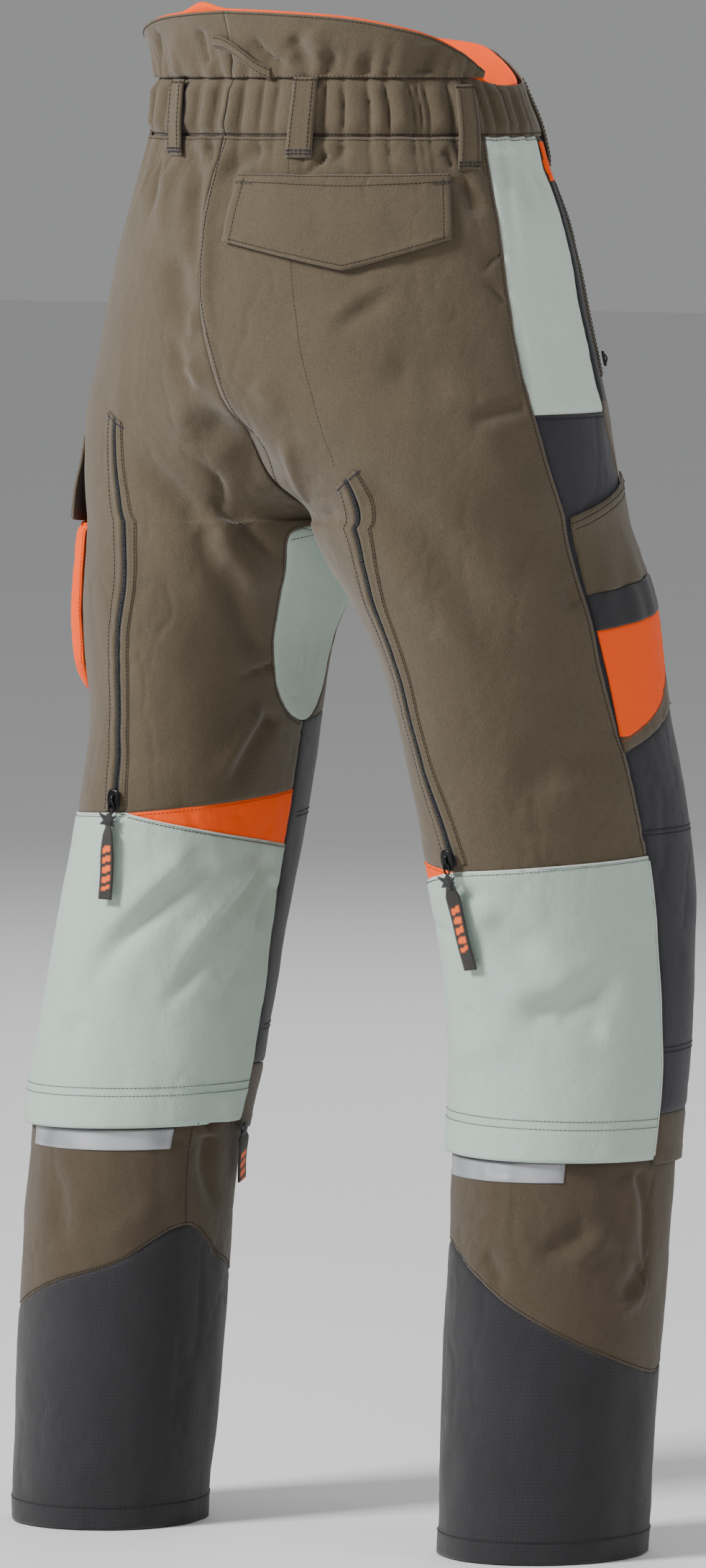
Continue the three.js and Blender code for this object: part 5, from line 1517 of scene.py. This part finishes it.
def fly():
    foot_z, top_z = 900.0, 1038.0
    foot_y, top_y = skin(LEFT, 0.0, foot_z)[1], skin(LEFT, 0.0, top_z)[1]
    line_y = lambda z: foot_y + (top_y - foot_y) * (z - foot_z) / (top_z - foot_z)
    def cloth_y(x, z):
        hit = UNDER["shell"].ray_cast(Vector((x * MM, -1.0, z * MM)), Vector((0, 1, 0)))[0]
        return line_y(z) if hit is None else min(hit.y / MM, line_y(z) + 14)
    def strip(name, half, lift, thick, low, high, finish, slot, nodes, columns=14, turned_down=2.0):
        x, z = np.linspace(-half, half, columns + 1), np.arange(low, high + 1, 2.5)
        ground = np.array([[cloth_y(a + CENTRING[0], b) for b in z] for a in x]) - 0.3 - thick
        edge = np.minimum(np.minimum(x + half, half - x)[:, None], np.minimum(z - low, high - z)[None, :])
        raised = smooth(edge / turned_down)
        y = (1 - raised) * ground + raised * np.minimum(ground, line_y(z)[None, :] - lift)
        grid = np.stack(np.broadcast_arrays(x[:, None], y, z[None, :]), -1)
        grid = grid + [CENTRING[0], 0, 0]
        soft = 0.7 * np.exp(-(edge / 1.2) ** 2) - 0.4 * RIPPLE(grid, (14, 14, 30))
        grid[..., 1] += np.clip(soft, -0.3, 0.9)
        inner = grid + [0, thick, 0]
        points, faces = closed_shell(grid, inner)
        uv = np.stack(np.broadcast_arrays(x[:, None], z[None, :]), -1).reshape(-1, 2)
        near = np.exp(-edge / 3).reshape(-1)
        mesh = mesh_of(name, points, faces, np.concatenate([uv, uv]), np.concatenate([near, near]))
        piece = settle(name, mesh, finish, slot, GARMENT, nodes)
        wide, tall = 2 * half, high - low
        piece["flat"] = [wide * MM, tall * MM, wide * tall * MM * MM]
        SHEETS.append((piece, "stretched"))
        return grid
    strip("fly_zip_tape", 11, 3.2, 1.0, foot_z, top_z, TAPE, "black_webbing", ["fly_zip"])
    face = strip("fly_placket_cloth", 19, 9.0, 1.2, foot_z - 8, top_z + 4, TAUPE, "taupe_cloth",
                 ["fly_placket"], 24, 11.0)
    for column in (3, 21):
        stitch(None, DARK_THREAD, points=face[column, 2:-2] + [0, -0.2, 0])
    z = np.arange(foot_z + 3, top_z - 4, 2.0)
    for name, x in (("a", -0.8), ("b", 0.8)):
        TEETH.append((f"fly_zip_teeth_{name}", np.stack([0 * z + x + CENTRING[0], line_y(z) - 3.8, z], -1)))
    rest = 1026.0
    slope = unit(np.array([0, line_y(rest + 1) - line_y(rest - 1), 2.0]))
    across = np.array([1.0, 0, 0])
    place = (np.array([CENTRING[0], line_y(rest), rest]), np.cross(across, slope), across, slope)
    slider_body("fly_slider_body", place, 4.0, 0.8, BARE_METAL, "bare_metal", "fly_slider", "fly_slider")
    point, out, around, up = skin_frame(LEFT, np.array(0.03), np.array(1068.0))
    rings = []
    for radius, high in ((0.01, 1.4), (8.0, 1.4), (8.5, 1.9), (8.5, 3.5), (8.0, 4.2), (6.8, 4.3),
                         (6.2, 3.7), (3.0, 3.4), (0.01, 3.5)):
        rings.append([point + out * high + radius * (around * math.cos(a) + up * math.sin(a))
                      for a in np.linspace(0, 2 * math.pi, 33)[:-1]])
    lofted("waist_button_cap", rings, BUTTON, "black_plastic", GARMENT, ["waist_button"])


def reflective_strips():
    for word, side in SIDES:
        hem = CALF_HEM_Z[side]
        low, high = (0.63, 0.88) if side == LEFT else (0.605, 0.83)
        u = np.linspace(low, high, 12)
        guides = [[(x, hem - 13.5), (x, hem + 2)] for x in u]
        def faint(cloth):
            return 0.25 * RIPPLE(cloth.bare + 2, (22, 22, 9)) + rounded(cloth, 0.25, 0.8)
        laid_on(f"reflective_strip_{word}_tape", side, guides, SILVER, "silver_reflective",
                [f"reflective_strip_{word}"], pitch=2.0, thick=0.6, lift=0.1, extra=faint,
                seat=lambda c: LOWER_LEG_LIFT + c.height + 0.3)


def inserts():
    for word, side in SIDES:
        inner = curve_through([(0.04, 60), (0.04, 600), (0.12, 760), (0.16, 880)])
        outer = curve_through([(0.44, 60), (0.44, 600), (0.4, 760), (0.37, 880)])
        pad = Cloth(side, [inner, outer], 6.0)
        quilt = 0.8 * np.abs(np.sin(pad.across / 40 * np.pi)) * np.abs(np.sin(pad.up / 60 * np.pi))
        sew_in(f"cut_protection_insert_{word}_pad", pad, FLEECE, "pad_fleece",
               [f"cut_protection_insert_{word}"], lift=-9.2, extra=quilt, thick=3.4, held="hung")


# ---------------------------------------------------------------- stitched seams and piping
def stitched_seams():
    for _, side in SIDES:
        seat_line = np.array([[1.0, z] for z in np.linspace(775, WAIST_SEAM_Z - 3, 60)])
        seam = part_of(SIDE_SEAM, 517, WAIST_SEAM_Z - 2)
        stitch(beside(side, seam, 4.0), DARK_THREAD, side=side)
        if side == RIGHT:
            stitch(beside(side, seat_line, -4.5), DARK_THREAD, side=side)
        gusset = GUSSET_LINE[GUSSET_LINE[:, 1] > 605]
        stitch(beside(side, gusset[:-14], -3.0), DARK_THREAD, side=side)
        yoke = np.linspace(0.535, 0.998, 160)
        stitch(np.stack([yoke, waist_top(yoke) - 2.0], -1), DARK_THREAD, side=side)
        stitch(np.stack([yoke, 0 * yoke + BAND_TOP_Z + 1.6], -1), PALE_THREAD, side=side)
        band = np.linspace(0.02, 0.998, 260)
        stitch(np.stack([band, 0 * band + WAIST_SEAM_Z + 2.2], -1), DARK_THREAD, side=side)
        stitch(np.stack([band, 0 * band + WAIST_SEAM_Z - 2.4], -1), DARK_THREAD, side=side)
        hem = CALF_HEM_Z[side]
        around = np.linspace(0.478, 0.996, 120)
        for rise in (24.0, 30.0):
            stitch(np.stack([around, hem + rise + 4 * smooth((around - 0.474) / 0.526)], -1), SAGE_THREAD,
                   side=side)
        tip_u, tip_z = KNEE_TIP[side]
        over = np.linspace(tip_u + 0.01, 0.996, 50)
        top = np.interp(over, [tip_u, 1.0], [tip_z, KNEE_INNER_Z[side]])
        low = np.interp(over, [tip_u, 1.0], [tip_z, WEDGE_FOOT_Z[side]])
        stitch(np.stack([over, top - 2.0], -1), ORANGE_THREAD, side=side)
        stitch(np.stack([over, low - 2.0], -1), DARK_THREAD, side=side)
        outer = np.linspace(0.478, tip_u, 50)
        calf = np.interp(outer, [0.474, tip_u], [KNEE_OUTER_Z[side], tip_z])
        stitch(np.stack([outer, calf - 2.2], -1), SAGE_THREAD, side=side)
        cuff = np.linspace(0.0, 0.999, 300)
        stitch(np.stack([cuff, 0 * cuff + 17.0], -1), CHARCOAL_THREAD, side=side)
        stitch(np.stack([cuff, along(CUFF_TOP[side], cuff) + 2.2], -1), DARK_THREAD, side=side)
        for first, last, z in ((0.415, 0.57, 839.0), (0.02, 0.47, 534.0), (0.02, 0.47, 530.5),
                               (0.02, 0.47, 374.0), (0.02, 0.47, 370.5)):
            stitch(curve_through([(first, z), (last, z)]), CHARCOAL_THREAD, side=side)
        front = part_of(HIP_FRONT, 845, WAIST_SEAM_Z - 3)
        stitch(beside(side, front, -3.0), DARK_THREAD, side=side)
    dart = curve_through([(0.884, 1040), (0.879, 1014), (0.869, 954), (0.869, 920), (0.874, 886),
                          (0.872, 861), (0.865, 830), (0.842, 806)])
    stitch(dart, DARK_THREAD, side=RIGHT, gap=-0.1)
    leg_seam = curve_through([(0.91, 305), (0.913, 265), (0.919, 230)])
    stitch(leg_seam, DARK_THREAD, side=LEFT)


PIPING_RADIUS = 0.7


def piping_rows():
    for word, side in SIDES:
        tip_u, tip_z = KNEE_TIP[side]
        runs = []
        outer = np.linspace(0.476, tip_u, 60)
        runs.append(np.stack([outer, np.interp(outer, [0.474, tip_u], [KNEE_OUTER_Z[side], tip_z])], -1))
        over = np.linspace(tip_u, 0.998, 60)
        runs.append(np.stack([over, np.interp(over, [tip_u, 1.0], [tip_z, WEDGE_FOOT_Z[side]])], -1))
        if side == RIGHT:
            z = np.linspace(296, 512, 80)
            runs.append(np.stack([0 * z + 0.4745, z], -1))
        for k, line in enumerate(runs):
            height = touch(side, line[:, 0], line[:, 1])
            height = np.convolve(np.pad(height, 3, mode="edge"), np.ones(7) / 7, "valid")
            bare, out, _, _ = skin_frame(side, line[:, 0], line[:, 1])
            centre = bare + out * (height + 0.35)[:, None]
            run = unit(np.gradient(centre, axis=0))
            over_way = unit(np.cross(out, run))
            rings = [[c + w * PIPING_RADIUS * math.cos(a) + o * PIPING_RADIUS * math.sin(a)
                      for a in np.linspace(0, 2 * math.pi, 7)[:-1]]
                     for c, w, o in zip(centre, over_way, out)]
            lofted(f"piping_{word}_{k}", rings, PIPING, "sage_stretch", GARMENT)


# ---------------------------------------------------------------- studio
def studio():
    target = Vector((-0.0043, 0.0042, 0.561))
    azimuth, elevation, distance = math.radians(217), math.radians(4.2), 7.3
    toward = Vector((math.sin(azimuth) * math.cos(elevation), -math.cos(azimuth) * math.cos(elevation),
                     math.sin(elevation)))
    data = bpy.data.cameras.new("camera")
    data.sensor_fit, data.sensor_height = "VERTICAL", 24.0
    frame_height = 1.1728
    data.lens = data.sensor_height * distance / frame_height
    data.clip_end = 60
    camera = bpy.data.objects.new("camera", data)
    bpy.context.scene.collection.objects.link(camera)
    camera.location = target + toward * distance
    camera.rotation_euler = (-toward).to_track_quat("-Z", "Y").to_euler()
    bpy.context.scene.camera = camera

    world = bpy.data.worlds.new("studio_air")
    world.use_nodes = True
    world.node_tree.nodes["Background"].inputs["Color"].default_value = (0.98, 0.99, 1.0, 1)
    world.node_tree.nodes["Background"].inputs["Strength"].default_value = 0.3
    bpy.context.scene.world = world
    for name, turn, rise, away, size, power in (
            ("key", 217 - 63, 34, 4.2, 1.0, 235), ("fill", 217 + 62, 24, 4.6, 2.4, 48),
            ("front", 30, 35, 5.0, 3.0, 80), ("back", 217, 12, 6.0, 2.0, 22)):
        turn, rise = math.radians(turn), math.radians(rise)
        lamp = bpy.data.lights.new(name, "AREA")
        lamp.energy, lamp.size = power, size
        light = bpy.data.objects.new(name, lamp)
        bpy.context.scene.collection.objects.link(light)
        way = Vector((math.sin(turn) * math.cos(rise), -math.cos(turn) * math.cos(rise), math.sin(rise)))
        light.location = Vector((0, 0, 0.55)) + way * away
        light.rotation_euler = (-way).to_track_quat("-Z", "Y").to_euler()

    size, low = 30.0, -0.0005
    mesh = bpy.data.meshes.new("floor")
    mesh.from_pydata([(-size, -size, low), (size, -size, low), (size, size, low), (-size, size, low)],
                     [], [(0, 1, 2, 3)])
    floor = bpy.data.objects.new("floor", mesh)
    bpy.context.scene.collection.objects.link(floor)
    f = Finish("floor_paint", roughness=0.9, specular=0.1)
    f.colour(f.mix(f.noise(3.0), (0.86, 0.86, 0.86, 1), (0.9, 0.9, 0.9, 1)))
    mesh.materials.append(f.material)


def declare_sheets():
    for piece, held in SHEETS:
        del piece["flat"]


waist()
seat_and_thigh()
lower_half()
garment_shell()
reflective_strips()
hanger_loop()
stitched_seams()
piping_rows()
vent_zips()
cargo_right()
front_closure()
cargo_left()
seat_pocket()
inserts()
belt_loops()
garment_shell()
for row, thread, side, body in LATE_STITCHES:
    stitch(row, thread, body=body, side=side)
vent_fittings()
sew_stitches()
zip_teeth()
studio()
declare_sheets()
